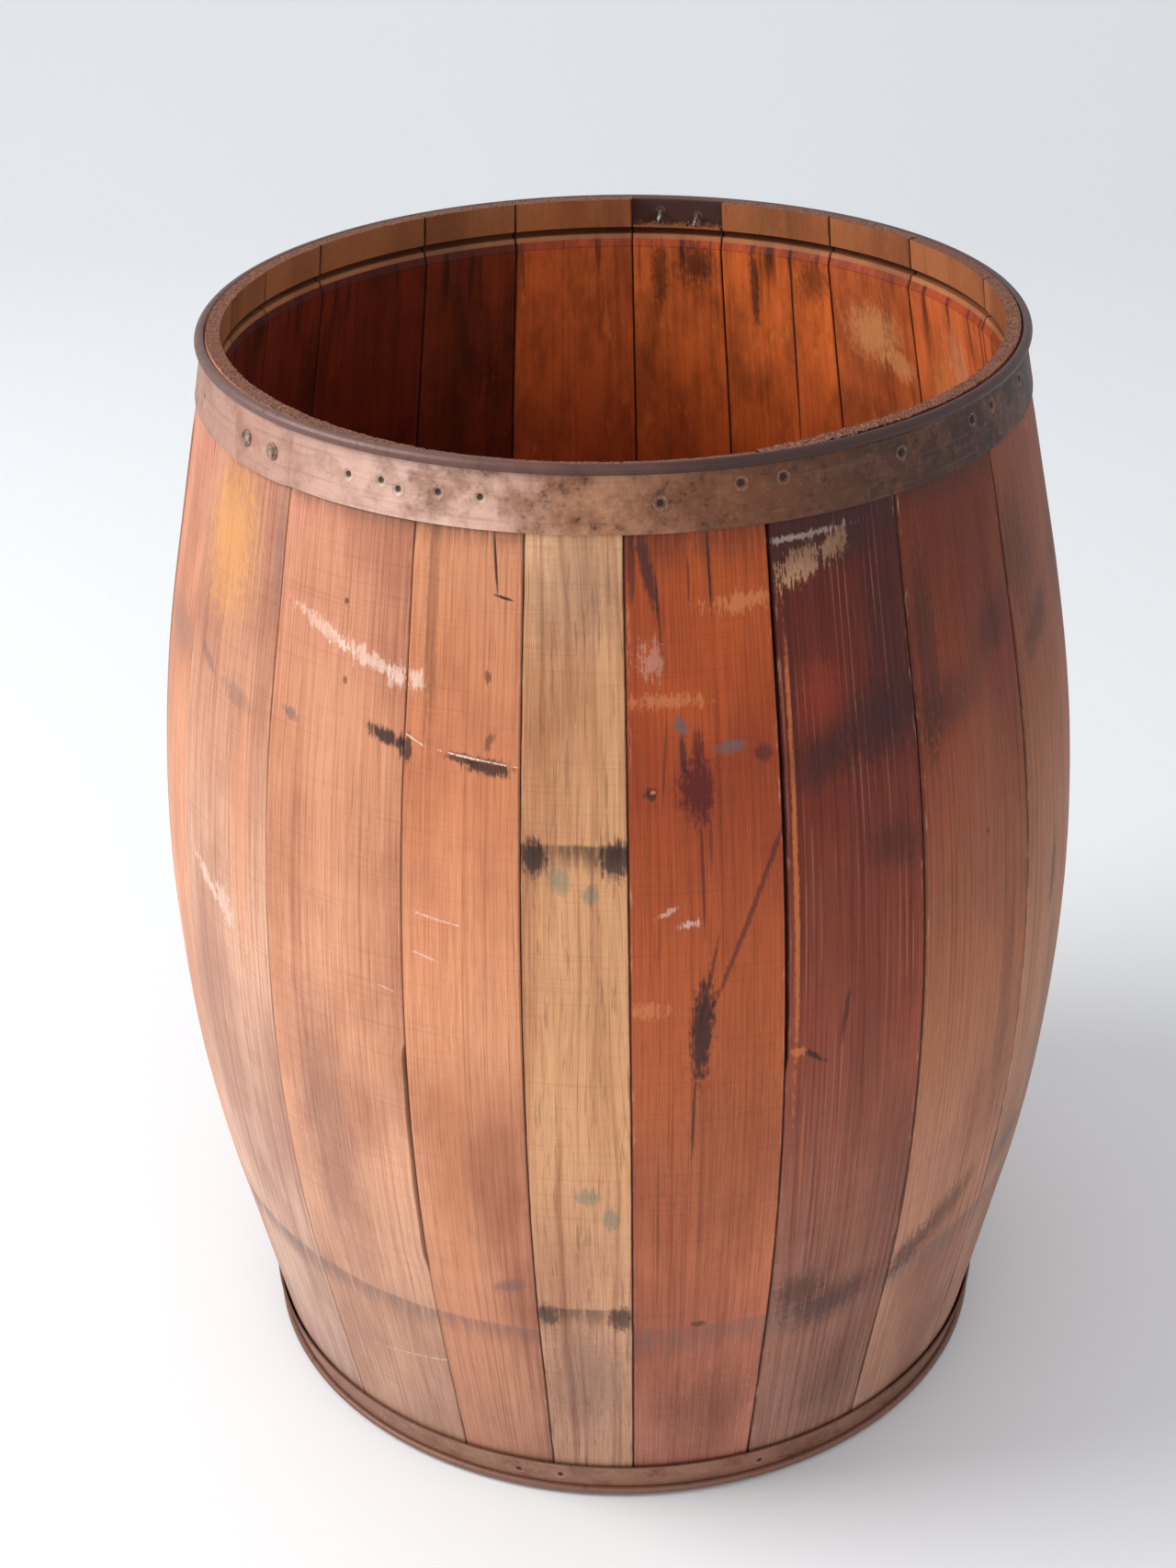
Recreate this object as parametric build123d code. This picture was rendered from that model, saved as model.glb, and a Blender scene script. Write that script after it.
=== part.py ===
from build123d import *
import os
from math import atan, cos, degrees, radians, sin, sqrt, tan
from typing import NamedTuple

# An open-topped straight-grained wooden barrel: bowed staves set edge to edge in a ring, a boarded
# head in the lower croze, and one steel hoop with a rolled bead at each end.
# Millimetres, +Z up. The origin is the centre of the foot, in the plane of the lower stave ends.
# Angles around the barrel are in degrees from the front (-Y), turning towards +X.
# "Depth" is a distance along Z measured inwards from the nearer stave end.

# Overall shape
barrel_height = 724.0
bilge_radius = 297.0        # outside of the staves at mid height
end_radius = 245.0          # outside of the staves at their ends
bend_height = 430.0         # the bent middle of each stave, between its two straight ends

# Staves
stave_widths = (17.5, 18.5, 20, 14.5, 15.5, 15.5, 22.5, 17, 19.5, 15, 19.5,
                16, 21.5, 15, 14, 16, 16, 20.5, 20, 14, 12)     # shares of the ring, in degrees
first_joint = 1.0           # angle of the joint before stave 1
stave_thickness = 14.0
short_staves = (20, 21, 1)      # worn down below the hoop's bead at the top
short_stave_wear = 3.5
broken_stave = 10           # its chime has snapped off above the croze
break_depth = 19.0          # mean depth of the snapped edge
break_roughness = 2.5       # how far the snapped edge runs up and down

# Stave ends: chime, howel, croze and the ledge under it
end_thickness = 8.5
howel_thickness = 10.0
croze_setback = 20.0        # from the stave end to the groove
croze_width = 5.0
croze_depth = 4.0
ledge_height = 8.0          # slope from the howel back to the full thickness

# Head
head_thickness = 14.0
head_edge_clearance = 0.3   # between the head's edge and the croze, all ways
head_tongue = 10.0          # flat part of the thinned edge
head_bevel = 12.0           # slope from the thinned edge to the full thickness
head_board_count = 5
dowel_diameter = 8.0
dowel_length = 40.0
dowel_clearance = 0.1
dowel_end_room = 1.0
dowel_offset = 105.0        # from the middle of a board to each of its dowels

# Hoops
hoop_thickness = 1.5
hoop_clearance = 0.1
bead_diameter = 6.0
top_hoop_height = 38.0
bottom_hoop_height = 26.0
bottom_hoop_lift = 1.0      # bead above the stave ends
bottom_hoop_slack = 1.6     # gap at the free edge, where the hoop has sprung off the wood
top_lap_angle = -51.5       # middle of the riveted lap
bottom_lap_angle = 186.0
lap_length = 58.0
rivet_spacing = 26.5
rivet_diameter = 5.0
rivet_head_diameter = 10.0
rivet_head_height = 1.4
rivet_clearance = 0.05

# Nail holes and nails: (angle, depth below the hoop's own end of the barrel)
nail_hole_diameter = 3.0
dish_diameter = 6.5
dish_depth = 0.7
empty_top_holes = ((-72, 22), (-35, 21), (-30, 20), (-27.5, 23), (-22, 21), (-16.5, 21), (5.5, 22),
                   (15.5, 15), (21, 15), (38.5, 17), (53, 16), (58.5, 15), (70, 16))
empty_bottom_holes = ((-16.5, 14), (-10, 15), (20.5, 14))
top_nails = ((166, 13), (172, 11), (205, 16), (249, 16))
bottom_nails = ((113, 10), (152, 10), (231, 10), (270, 10))
nail_diameter = 2.6
nail_length = 16.0
nail_point = 4.0
nail_tip_diameter = 0.4
nail_head_diameter = 6.0
nail_head_height = 1.2
nail_clearance = 0.05

# Pressed ribs on the bottom hoop
rib_angles = (-55, -26, 13, 55, 94, 133, 172, 211, 250)
rib_length = 24.0
rib_width = 5.0
rib_height = 0.8
rib_depth = 15.5            # middle of the rib above the foot


def end_lean():
    """Lean of a stave's straight ends, in radians, that brings the bend down to the end radius."""
    half_height = barrel_height / 2
    lean = 0.0
    for _ in range(60):
        drop = bilge_radius - end_radius + bend_height / 2 * tan(lean / 2) / cos(lean)
        lean = atan(drop / half_height)
    return lean


lean = end_lean()
bend_radius = bend_height / 2 / sin(lean)


def stave_radius(depth, thickness=0.0):
    """Radius of the straight end at a depth, on a surface that lies a thickness inside the outside."""
    return end_radius + depth * tan(lean) - thickness / cos(lean)


def at_angle(angle):
    """Turns something built along +X to an angle measured from the front."""
    return Rot(0, 0, angle - 90)


def stave_starts():
    """Angle of each stave's first joint, with the widths shared out over the full turn."""
    share = 360 / sum(stave_widths)
    starts = [first_joint]
    for width in stave_widths:
        starts.append(starts[-1] + width * share)
    return starts


def end_outline():
    """Outline of one stave end as (radius, depth), from its outer corner round to the inside wall."""
    groove_end = croze_setback + croze_width
    ledge_end = groove_end + ledge_height
    groove_floor = howel_thickness - croze_depth
    return [
        (stave_radius(0), 0),
        (stave_radius(0, end_thickness), 0),
        (stave_radius(croze_setback, howel_thickness), croze_setback),
        (stave_radius(croze_setback, groove_floor), croze_setback),
        (stave_radius(groove_end, groove_floor), groove_end),
        (stave_radius(groove_end, howel_thickness), groove_end),
        (stave_radius(ledge_end, stave_thickness), ledge_end),
    ]


def stave_section():
    """A stave cut along its length: bent in the middle, straight and grooved at both ends."""
    middle = barrel_height / 2
    bend_centre = bilge_radius - bend_radius
    inner_bend = bend_radius - stave_thickness
    outer_x = bend_centre + bend_radius * cos(lean)
    outer_rise = bend_radius * sin(lean)
    inner_x = bend_centre + inner_bend * cos(lean)
    inner_rise = inner_bend * sin(lean)
    upper = [(radius, barrel_height - depth) for radius, depth in end_outline()]
    lower = [(radius, depth) for radius, depth in reversed(end_outline())]
    with BuildSketch(Plane.XZ) as section:
        with BuildLine():
            Polyline((outer_x, middle + outer_rise), *upper, (inner_x, middle + inner_rise))
            ThreePointArc((inner_x, middle + inner_rise), (bilge_radius - stave_thickness, middle),
                          (inner_x, middle - inner_rise))
            Polyline((inner_x, middle - inner_rise), *lower, (outer_x, middle - outer_rise))
            ThreePointArc((outer_x, middle - outer_rise), (bilge_radius, middle),
                          (outer_x, middle + outer_rise))
        make_face()
    return section.sketch


def worn_top():
    """Removes what a short stave has lost at its top end."""
    size = 2 * bilge_radius
    return Pos(0, 0, barrel_height - short_stave_wear) * Box(
        size, size, size, align=(Align.CENTER, Align.CENTER, Align.MIN))


def broken_chime(angle, width):
    """Removes the chime of one stave, down to a snapped, uneven edge."""
    half = end_radius * radians(width)
    low = break_depth + break_roughness
    high = break_depth - break_roughness
    edge = [(-half, -high), (-half / 3, -low), (-half / 5, -break_depth), (half / 6, -low),
            (half / 4, -high), (half, -low)]
    outline = Polyline(*edge, (half, break_depth), (-half, break_depth), close=True)
    block = extrude(Plane.YZ * make_face(outline), end_radius + bead_diameter)
    return at_angle(angle) * Pos(0, 0, barrel_height) * block


def staves(section):
    """All the staves by name, each a slice of the same turned section."""
    starts = stave_starts()
    made = {}
    for index, start in enumerate(starts[:-1]):
        number = index + 1
        width = starts[number] - start
        body = at_angle(start) * revolve(section, axis=Axis.Z, revolution_arc=width)
        if number in short_staves:
            body -= worn_top()
        if number == broken_stave:
            body -= broken_chime(start + width / 2, width)
        for plan in (top_plan, bottom_plan):
            for angle, depth in plan.nails:
                if (angle - start + nail_diameter) % 360 < width + 2 * nail_diameter:
                    body -= nail_bore(plan, angle, depth)
        made[f"stave_{number:02d}"] = body
    return made


class HoopPlan(NamedTuple):
    """What differs between the two hoops."""

    at_top: bool
    strip_height: float
    setback: float          # beaded edge to the stave ends
    slack: float            # gap to the wood at the free edge
    lap_angle: float
    empty_holes: tuple
    nails: tuple


top_plan = HoopPlan(True, top_hoop_height, 0.0, 0.0, top_lap_angle, empty_top_holes, top_nails)
bottom_plan = HoopPlan(False, bottom_hoop_height, bottom_hoop_lift, bottom_hoop_slack,
                       bottom_lap_angle, empty_bottom_holes, bottom_nails)


def strip_ends(plan):
    """Radius of a strip's inner face at its bead and at its free edge."""
    near = stave_radius(bead_diameter / 2 + plan.setback) + hoop_clearance
    far = stave_radius(plan.strip_height + plan.setback) + hoop_clearance + plan.slack
    return near, far


def strip_slope(plan):
    """How fast a strip widens along its height."""
    near, far = strip_ends(plan)
    return (far - near) / (plan.strip_height - bead_diameter / 2)


def hoop_face(plan):
    """A hoop cut through, as (radius, height): the rolled bead below and the strip rising from it."""
    bead = bead_diameter / 2
    near, far = strip_ends(plan)
    foot = bead + plan.setback
    edge = plan.strip_height + plan.setback
    slope = strip_slope(plan)
    inset = bead - hoop_thickness
    square = 1 + slope ** 2
    rise = (inset * slope + sqrt((inset * slope) ** 2 + square * (bead ** 2 - inset ** 2))) / square
    leaving = (near + hoop_thickness + rise * slope, foot + rise)
    with BuildSketch(Plane.XZ) as section:
        with BuildLine():
            ThreePointArc((near, foot), (near + bead, plan.setback), leaving)
            Polyline(leaving, (far + hoop_thickness, edge), (far, edge), (near, foot))
        make_face()
    return section.sketch


def lap_face(plan):
    """The second layer of a lap cut through, sunk half a thickness into the strip under it."""
    near, far = strip_ends(plan)
    under = hoop_thickness / 2
    over = 2 * hoop_thickness
    foot = bead_diameter / 2 + plan.setback
    edge = plan.strip_height + plan.setback
    outline = Polyline((near + under, foot), (near + over, foot), (far + over, edge), (far + under, edge),
                       close=True)
    return Plane.XZ * make_face(outline)


def strip_place(plan, angle, depth):
    """Frame on the outer face of a strip, beaded edge down, its local Z outwards and local X down."""
    slope = strip_slope(plan)
    radius = strip_ends(plan)[0] + hoop_thickness + (depth - bead_diameter / 2) * slope
    return at_angle(angle) * Pos(radius, 0, depth + plan.setback) * Rot(0, 90 + degrees(atan(slope)), 0)


def in_place(plan, shape):
    """Leaves a bottom hoop's part where it is, and turns a top hoop's part over to the top end."""
    if plan.at_top:
        return Pos(0, 0, barrel_height) * mirror(shape, Plane.XY)
    return shape


def turn_over(plan, length):
    """Angle that a length takes up along a strip, in degrees."""
    return degrees(length / stave_radius(plan.strip_height / 2))


def rivet_places(plan):
    """Frames of the two rivets of a lap."""
    depth = (plan.strip_height + bead_diameter) / 2
    half = turn_over(plan, rivet_spacing) / 2
    return [strip_place(plan, plan.lap_angle + side * half, depth) for side in (-1, 1)]


def nail_hole():
    """Punched hole through a strip, with the dish pressed round it, its seam turned along the strip."""
    hole = nail_hole_diameter / 2
    dish = dish_diameter / 2
    reach = 4 * hoop_thickness
    wider = dish + (dish - hole) * reach / dish_depth
    outline = Polyline((0, -reach), (hole, -reach), (hole, -dish_depth), (wider, reach), (0, reach),
                       close=True)
    return Rot(0, 0, 90) * revolve(Plane.XZ * make_face(outline), axis=Axis.Z, revolution_arc=360)


def nail_bore(plan, angle, depth):
    """Hole that a nail takes up in a stave."""
    bore = Cylinder(nail_diameter / 2 + nail_clearance, nail_length + nail_clearance,
                    align=(Align.CENTER, Align.CENTER, Align.MAX))
    return in_place(plan, strip_place(plan, angle, depth) * bore)


def pressed_ribs():
    """Long ribs pressed outwards in the bottom hoop."""
    sunk = hoop_thickness / 2
    rib = Pos(0, 0, -sunk) * Rot(0, 0, 90) * extrude(SlotOverall(rib_length, rib_width), rib_height + sunk)
    return [strip_place(bottom_plan, angle, rib_depth) * rib for angle in rib_angles]


def hoop(plan):
    """One hoop: a closed strip with a rolled bead, its riveted lap and its nail holes."""
    ring = revolve(hoop_face(plan), axis=Axis.Z, revolution_arc=360)
    turn = turn_over(plan, lap_length)
    lap = revolve(lap_face(plan), axis=Axis.Z, revolution_arc=turn)
    ring += at_angle(plan.lap_angle - turn / 2) * lap
    if not plan.at_top:
        ring += pressed_ribs()
    bore = Cylinder(rivet_diameter / 2 + rivet_clearance, 8 * hoop_thickness)
    spots = plan.empty_holes + plan.nails
    holes = [strip_place(plan, angle, depth) * nail_hole() for angle, depth in spots]
    return in_place(plan, ring - holes - [place * bore for place in rivet_places(plan)])


def rivets(plan):
    """The two rivets of a lap: a flat head outside, and a tail just inside the strip's inner face."""
    reach = hoop_thickness - rivet_clearance
    shank = Pos(0, 0, -reach) * Cylinder(
        rivet_diameter / 2, reach + hoop_thickness, align=(Align.CENTER, Align.CENTER, Align.MIN))
    head = Pos(0, 0, hoop_thickness) * Cone(
        rivet_head_diameter / 2, rivet_diameter / 2, rivet_head_height,
        align=(Align.CENTER, Align.CENTER, Align.MIN))
    return [in_place(plan, place * (shank + head)) for place in rivet_places(plan)]


def nails(plan):
    """Nails driven through a hoop's holes, square to the strip."""
    shank = Cylinder(nail_diameter / 2, nail_length - nail_point,
                     align=(Align.CENTER, Align.CENTER, Align.MAX))
    point = Pos(0, 0, -nail_length) * Cone(
        nail_tip_diameter / 2, nail_diameter / 2, nail_point,
        align=(Align.CENTER, Align.CENTER, Align.MIN))
    head = Cylinder(nail_head_diameter / 2, nail_head_height,
                    align=(Align.CENTER, Align.CENTER, Align.MIN))
    nail = shank + point + head
    return [in_place(plan, strip_place(plan, angle, depth) * nail) for angle, depth in plan.nails]


def head_radius():
    """Radius of the head's thinned edge, which stands in the croze."""
    return stave_radius(croze_setback, howel_thickness - croze_depth) - head_edge_clearance


def head_disc():
    """The whole head before it is cut into boards, its edge thinned to fit the croze."""
    edge = head_radius()
    under = croze_setback + head_edge_clearance
    tongue_top = croze_setback + croze_width - head_edge_clearance
    top = under + head_thickness
    outline = Polyline((0, under), (edge, under), (edge, tongue_top), (edge - head_tongue, tongue_top),
                       (edge - head_tongue - head_bevel, top), (0, top), close=True)
    return revolve(Plane.XZ * make_face(outline), axis=Axis.Z, revolution_arc=360)


def dowel_places():
    """Centre of each head dowel, on the joints between boards."""
    edge = head_radius()
    board_width = 2 * edge / head_board_count
    height = croze_setback + head_edge_clearance + head_thickness / 2
    places = []
    for joint in range(1, head_board_count):
        y = joint * board_width - edge
        for side in (-1, 1):
            places.append((side * dowel_offset, y, height))
    return places


def head_boards():
    """The head's boards by name, edge to edge, bored for their dowels."""
    edge = head_radius()
    board_width = 2 * edge / head_board_count
    disc = head_disc()
    bore = Cylinder(dowel_diameter / 2 + dowel_clearance, dowel_length + 2 * dowel_end_room)
    for place in dowel_places():
        disc -= Pos(*place) * Rot(90, 0, 0) * bore
    made = {}
    for index in range(head_board_count):
        y = (index + 0.5) * board_width - edge
        slab = Pos(0, y, 0) * Box(2.1 * edge, board_width, barrel_height)
        made[f"head_board_{index + 1}"] = disc & slab
    return made


def head_dowels():
    """The dowels that hold the head's boards in line."""
    dowel = Cylinder(dowel_diameter / 2, dowel_length)
    return [Pos(*place) * Rot(90, 0, 0) * dowel for place in dowel_places()]


def write(name, shape):
    """Writes one sub-part, whether one solid or a group of separate ones."""
    if isinstance(shape, list):
        shape = Compound(children=[piece.solids()[0] for piece in shape])
    export_step(shape, f"parts/{name}.step")


os.makedirs("parts", exist_ok=True)
everything = {
    **staves(stave_section()),
    **head_boards(),
    "head_dowels": head_dowels(),
    "top_hoop": hoop(top_plan),
    "top_hoop_rivets": rivets(top_plan),
    "top_hoop_nails": nails(top_plan),
    "bottom_hoop": hoop(bottom_plan),
    "bottom_hoop_rivets": rivets(bottom_plan),
    "bottom_hoop_nails": nails(bottom_plan),
}
for node, model in everything.items():
    write(node, model)
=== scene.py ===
# %% [markdown]
# # A slack wine barrel, stave by stave
# A barrel is a ring of narrow boards, called staves, squeezed together by steel hoops.
# This lesson starts from the measured CAD model, which gives every piece its size and place,
# and then makes each piece again with its grain, its worn edges, its dents and its stains.

# %% Load the measured model
from math import atan, cos, hypot, pi, radians, sin, sqrt, tan

import bpy
from mathutils import Matrix, Vector


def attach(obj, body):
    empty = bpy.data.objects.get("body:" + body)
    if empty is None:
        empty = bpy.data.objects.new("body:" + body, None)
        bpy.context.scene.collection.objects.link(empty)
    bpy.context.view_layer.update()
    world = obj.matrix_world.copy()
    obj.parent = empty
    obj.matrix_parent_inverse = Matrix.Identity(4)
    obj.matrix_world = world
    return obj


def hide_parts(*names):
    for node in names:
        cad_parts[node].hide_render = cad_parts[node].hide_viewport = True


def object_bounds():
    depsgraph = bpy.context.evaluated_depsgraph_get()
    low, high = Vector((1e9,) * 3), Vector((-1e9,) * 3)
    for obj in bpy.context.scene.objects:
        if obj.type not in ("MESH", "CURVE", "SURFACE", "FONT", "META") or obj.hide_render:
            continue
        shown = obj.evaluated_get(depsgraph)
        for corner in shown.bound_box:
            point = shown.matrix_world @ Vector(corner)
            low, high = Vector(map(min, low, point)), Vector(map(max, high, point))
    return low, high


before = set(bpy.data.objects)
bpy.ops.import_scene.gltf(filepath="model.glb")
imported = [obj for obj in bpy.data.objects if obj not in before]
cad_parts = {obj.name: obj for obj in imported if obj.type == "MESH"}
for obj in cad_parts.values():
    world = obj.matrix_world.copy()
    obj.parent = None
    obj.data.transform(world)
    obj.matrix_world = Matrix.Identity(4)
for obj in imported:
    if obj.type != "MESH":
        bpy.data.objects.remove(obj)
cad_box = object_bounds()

mm = 0.001
barrel_height = cad_box[1].z - cad_box[0].z
bilge_radius = 297 * mm
print("barrel height", round(barrel_height, 4), "m, nodes", len(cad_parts))

# %% [markdown]
# ## Camera, floor and light
# The camera stands a metre and a half in front of the barrel and looks down into its mouth.
# It comes first, because every later choice of detail is judged through it.

# %% The camera
camera_data = bpy.data.cameras.new("camera")
camera_data.sensor_width = 36
camera_data.lens = 58.76
camera = bpy.data.objects.new("camera", camera_data)
pitch, yaw, roll = radians(28.92), radians(-0.77), radians(-1.09)
camera.matrix_world = (Matrix.Translation((0, -1.496, 1.223)) @ Matrix.Rotation(-yaw, 4, "Z")
                       @ Matrix.Rotation(pi / 2 - pitch, 4, "X") @ Matrix.Rotation(roll, 4, "Z"))
bpy.context.collection.objects.link(camera)
bpy.context.scene.camera = camera
print("camera lens", camera_data.lens, "mm")

# %% [markdown]
# The floor runs up into the wall in one curve, as a roll of studio paper does, so no line
# shows behind the barrel. It is stage, not part of the object.

# %% The paper sweep
sweep_half_width = 9.0
sweep_front, sweep_back, sweep_height, sweep_curve = -7.0, 5.0, 7.0, 2.5
sweep_steps = 24
outline = [(sweep_front, 0.0)]
for step in range(sweep_steps + 1):
    turn = pi / 2 * step / sweep_steps
    outline.append((sweep_back - sweep_curve + sweep_curve * sin(turn), sweep_curve * (1 - cos(turn))))
outline.append((sweep_back, sweep_height))
sweep_mesh = bpy.data.meshes.new("paper_sweep")
corners = [(side * sweep_half_width, y, z) for y, z in outline for side in (-1, 1)]
strips = [(2 * i, 2 * i + 1, 2 * i + 3, 2 * i + 2) for i in range(len(outline) - 1)]
sweep_mesh.from_pydata(corners, [], strips)
sweep_mesh.shade_smooth()
sweep = bpy.data.objects.new("paper_sweep", sweep_mesh)
bpy.context.collection.objects.link(sweep)
paper = bpy.data.materials.new("pale_paper")
paper.use_nodes = True
paper_shader = paper.node_tree.nodes["Principled BSDF"]
paper_shader.inputs["Base Color"].default_value = (0.80, 0.81, 0.82, 1)
paper_shader.inputs["Roughness"].default_value = 0.85
sweep_mesh.materials.append(paper)

# %% [markdown]
# One large soft light stands at the left, a little behind the barrel, and a weak one in front.
# The world gives an even pale fill, so the right side is dark but never black.

# %% The lights
def soft_light(name, place, aim, size, power):
    """An area light that faces a point."""
    data = bpy.data.lights.new(name, "AREA")
    data.shape = "DISK"
    data.size = size
    data.energy = power
    light = bpy.data.objects.new(name, data)
    light.location = place
    light.rotation_euler = (Vector(aim) - Vector(place)).to_track_quat("-Z", "Y").to_euler()
    bpy.context.collection.objects.link(light)


middle = (0, 0, barrel_height / 2)
soft_light("key", (-2.6, -0.3, 2.6), middle, 2.0, 98)
soft_light("front_fill", (0.6, -3.4, 2.2), middle, 2.5, 14)
world = bpy.data.worlds.new("pale_room")
world.use_nodes = True
world.node_tree.nodes["Background"].inputs["Color"].default_value = (0.95, 0.97, 1.0, 1)
world.node_tree.nodes["Background"].inputs["Strength"].default_value = 0.76
bpy.context.scene.world = world
bpy.context.scene.view_settings.view_transform = "Standard"

# %% [markdown]
# ## Sums made of nodes
# Both a shape and a colour can be a rule worked out by nodes. Wiring hundreds of Math nodes by
# hand is slow to write and to read, so this helper lets an ordinary sum build them.

# %% A value that builds its own nodes
class Field:
    """A node socket that can stand in a sum. Each operation adds one Math node to its tree."""

    def __init__(self, tree, socket):
        self.tree, self.socket = tree, socket

    def math(self, operation, *others):
        made = self.tree.nodes.new("ShaderNodeMath")
        made.operation = operation
        for socket, value in zip(made.inputs, (self, *others)):
            feed(self.tree, socket, value)
        return Field(self.tree, made.outputs[0])

    def __add__(self, other): return self.math("ADD", other)
    def __radd__(self, other): return self.math("ADD", other)
    def __sub__(self, other): return self.math("SUBTRACT", other)
    def __rsub__(self, other): return (self * -1) + other
    def __mul__(self, other): return self.math("MULTIPLY", other)
    def __rmul__(self, other): return self.math("MULTIPLY", other)
    def __truediv__(self, other): return self.math("DIVIDE", other)
    def __pow__(self, other): return self.math("POWER", other)
    def __neg__(self): return self * -1
    def __lt__(self, other): return self.math("LESS_THAN", other)
    def __gt__(self, other): return self.math("GREATER_THAN", other)
    def low(self, other): return self.math("MINIMUM", other)
    def high(self, other): return self.math("MAXIMUM", other)
    def root(self): return self.math("SQRT")
    def size(self): return self.math("ABSOLUTE")

    def smooth(self, start, end):
        """0 below start, 1 above end, and an easy curve between. Start may be the larger one."""
        made = self.tree.nodes.new("ShaderNodeMapRange")
        made.interpolation_type = "SMOOTHSTEP"
        for key, value in (("Value", self), ("From Min", start), ("From Max", end)):
            feed(self.tree, made.inputs[key], value)
        return Field(self.tree, made.outputs["Result"])

    def parts(self):
        """The three numbers of a vector."""
        made = self.tree.nodes.new("ShaderNodeSeparateXYZ")
        self.tree.links.new(self.socket, made.inputs[0])
        return [Field(self.tree, socket) for socket in made.outputs]


def feed(tree, socket, value):
    """Gives a socket a link or a plain value."""
    if isinstance(value, Field):
        tree.links.new(value.socket, socket)
    else:
        socket.default_value = value


def node(tree, kind, inputs=None, **settings):
    """One node with its settings and inputs. An input is named or numbered."""
    made = tree.nodes.new(kind)
    for key, value in settings.items():
        setattr(made, key, value)
    for key, value in (inputs or {}).items():
        feed(tree, made.inputs[key], value)
    return made


def vector(tree, x, y, z):
    """Three numbers as one vector."""
    return Field(tree, node(tree, "ShaderNodeCombineXYZ", {0: x, 1: y, 2: z}).outputs[0])


def noise(tree, place, scale, seed, detail=2.0, roughness=0.5):
    """Smooth random values, about 0.3 to 0.7, that change over a place. The seed picks the pattern."""
    made = node(tree, "ShaderNodeTexNoise", {"Vector": place, "W": seed, "Scale": scale, "Detail": detail,
                                             "Roughness": roughness}, noise_dimensions="4D")
    return Field(tree, made.outputs[0])


def new_tree(name, kind, inputs, outputs):
    """A node group with named inputs and outputs, each given as (name, socket type, default)."""
    tree = bpy.data.node_groups.new(name, kind)
    for title, socket, default in inputs:
        made = tree.interface.new_socket(title, in_out="INPUT", socket_type=socket)
        if default is not None:
            made.default_value = default
    for title, socket in outputs:
        tree.interface.new_socket(title, in_out="OUTPUT", socket_type=socket)
    source = tree.nodes.new("NodeGroupInput")
    return tree, {socket.name: Field(tree, socket) for socket in source.outputs if socket.name}


FLOAT, VECTOR, GEOMETRY = "NodeSocketFloat", "NodeSocketVector", "NodeSocketGeometry"

# %% [markdown]
# ## Turning a blank into a piece
# A cooper starts from a blank and shapes it. Here a blank is a plain closed lattice of points, and
# a Geometry Nodes tree bends it. These two helpers make a lattice and keep what the tree made.

# %% Lattice blanks
def lattice(name, columns, rows, layers, row_values=()):
    """A closed box of points at (column, layer, row), with marks for its inner faces and its ends."""
    number = {}
    points, point_rows = [], []

    def at(i, j, k):
        if (i, j, k) not in number:
            number[i, j, k] = len(points)
            points.append((columns[i], layers[k], rows[j]))
            point_rows.append(j)
        return number[i, j, k]

    last_i, last_j, last_k = len(columns) - 1, len(rows) - 1, len(layers) - 1
    faces, inner, ends = [], [], []

    def add(corner_list, is_inner, is_end):
        faces.append([at(*corner) for corner in corner_list])
        inner.append(is_inner)
        ends.append(is_end)

    for i in range(last_i):
        for j in range(last_j):
            add([(i, j, 0), (i, j + 1, 0), (i + 1, j + 1, 0), (i + 1, j, 0)], 1.0, 0.0)
            add([(i, j, last_k), (i + 1, j, last_k), (i + 1, j + 1, last_k), (i, j + 1, last_k)], 0.0, 0.0)
        for k in range(last_k):
            add([(i, 0, k), (i + 1, 0, k), (i + 1, 0, k + 1), (i, 0, k + 1)], 0.0, 1.0)
            add([(i, last_j, k), (i, last_j, k + 1), (i + 1, last_j, k + 1), (i + 1, last_j, k)], 0.0, 1.0)
    for j in range(last_j):
        for k in range(last_k):
            add([(0, j, k), (0, j, k + 1), (0, j + 1, k + 1), (0, j + 1, k)], 0.0, 0.0)
            add([(last_i, j, k), (last_i, j + 1, k), (last_i, j + 1, k + 1), (last_i, j, k + 1)], 0.0, 0.0)
    mesh = bpy.data.meshes.new(name)
    mesh.from_pydata(points, [], faces)
    for title, values in (("inside", inner), ("end", ends)):
        mesh.attributes.new(title, "FLOAT", "FACE").data.foreach_set("value", values)
    if row_values:
        kept = mesh.attributes.new("thickness", "FLOAT", "POINT")
        kept.data.foreach_set("value", [row_values[j] for j in point_rows])
    return mesh


def shaped(tree, blank, values, sharp=35):
    """What a tree makes of a blank, as a plain mesh with its faces outwards and its sharp edges kept."""
    blank_object = bpy.data.objects.new(tree.name, blank)
    bpy.context.collection.objects.link(blank_object)
    modifier = blank_object.modifiers.new(tree.name, "NODES")
    modifier.node_group = tree
    wanted = dict(values)
    for item in tree.interface.items_tree:
        if item.in_out == "INPUT" and item.name in wanted:
            modifier[item.identifier] = wanted.pop(item.name)
    assert not wanted, wanted
    depsgraph = bpy.context.evaluated_depsgraph_get()
    mesh = bpy.data.meshes.new_from_object(blank_object.evaluated_get(depsgraph), depsgraph=depsgraph)
    bpy.data.objects.remove(blank_object)
    inward = sum(face.center.dot(face.normal) * face.area for face in mesh.polygons) < 0
    if inward:
        mesh.flip_normals()
    mesh.shade_smooth()
    mesh.set_sharp_from_angle(angle=radians(sharp))
    return mesh


def place_piece(name, mesh, slot, *nodes):
    """Puts a finished mesh in the scene, on the barrel's one body, for the CAD nodes it stands for."""
    piece = bpy.data.objects.new(name, mesh)
    bpy.context.collection.objects.link(piece)
    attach(piece, "root")
    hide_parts(*nodes)
    return piece

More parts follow.
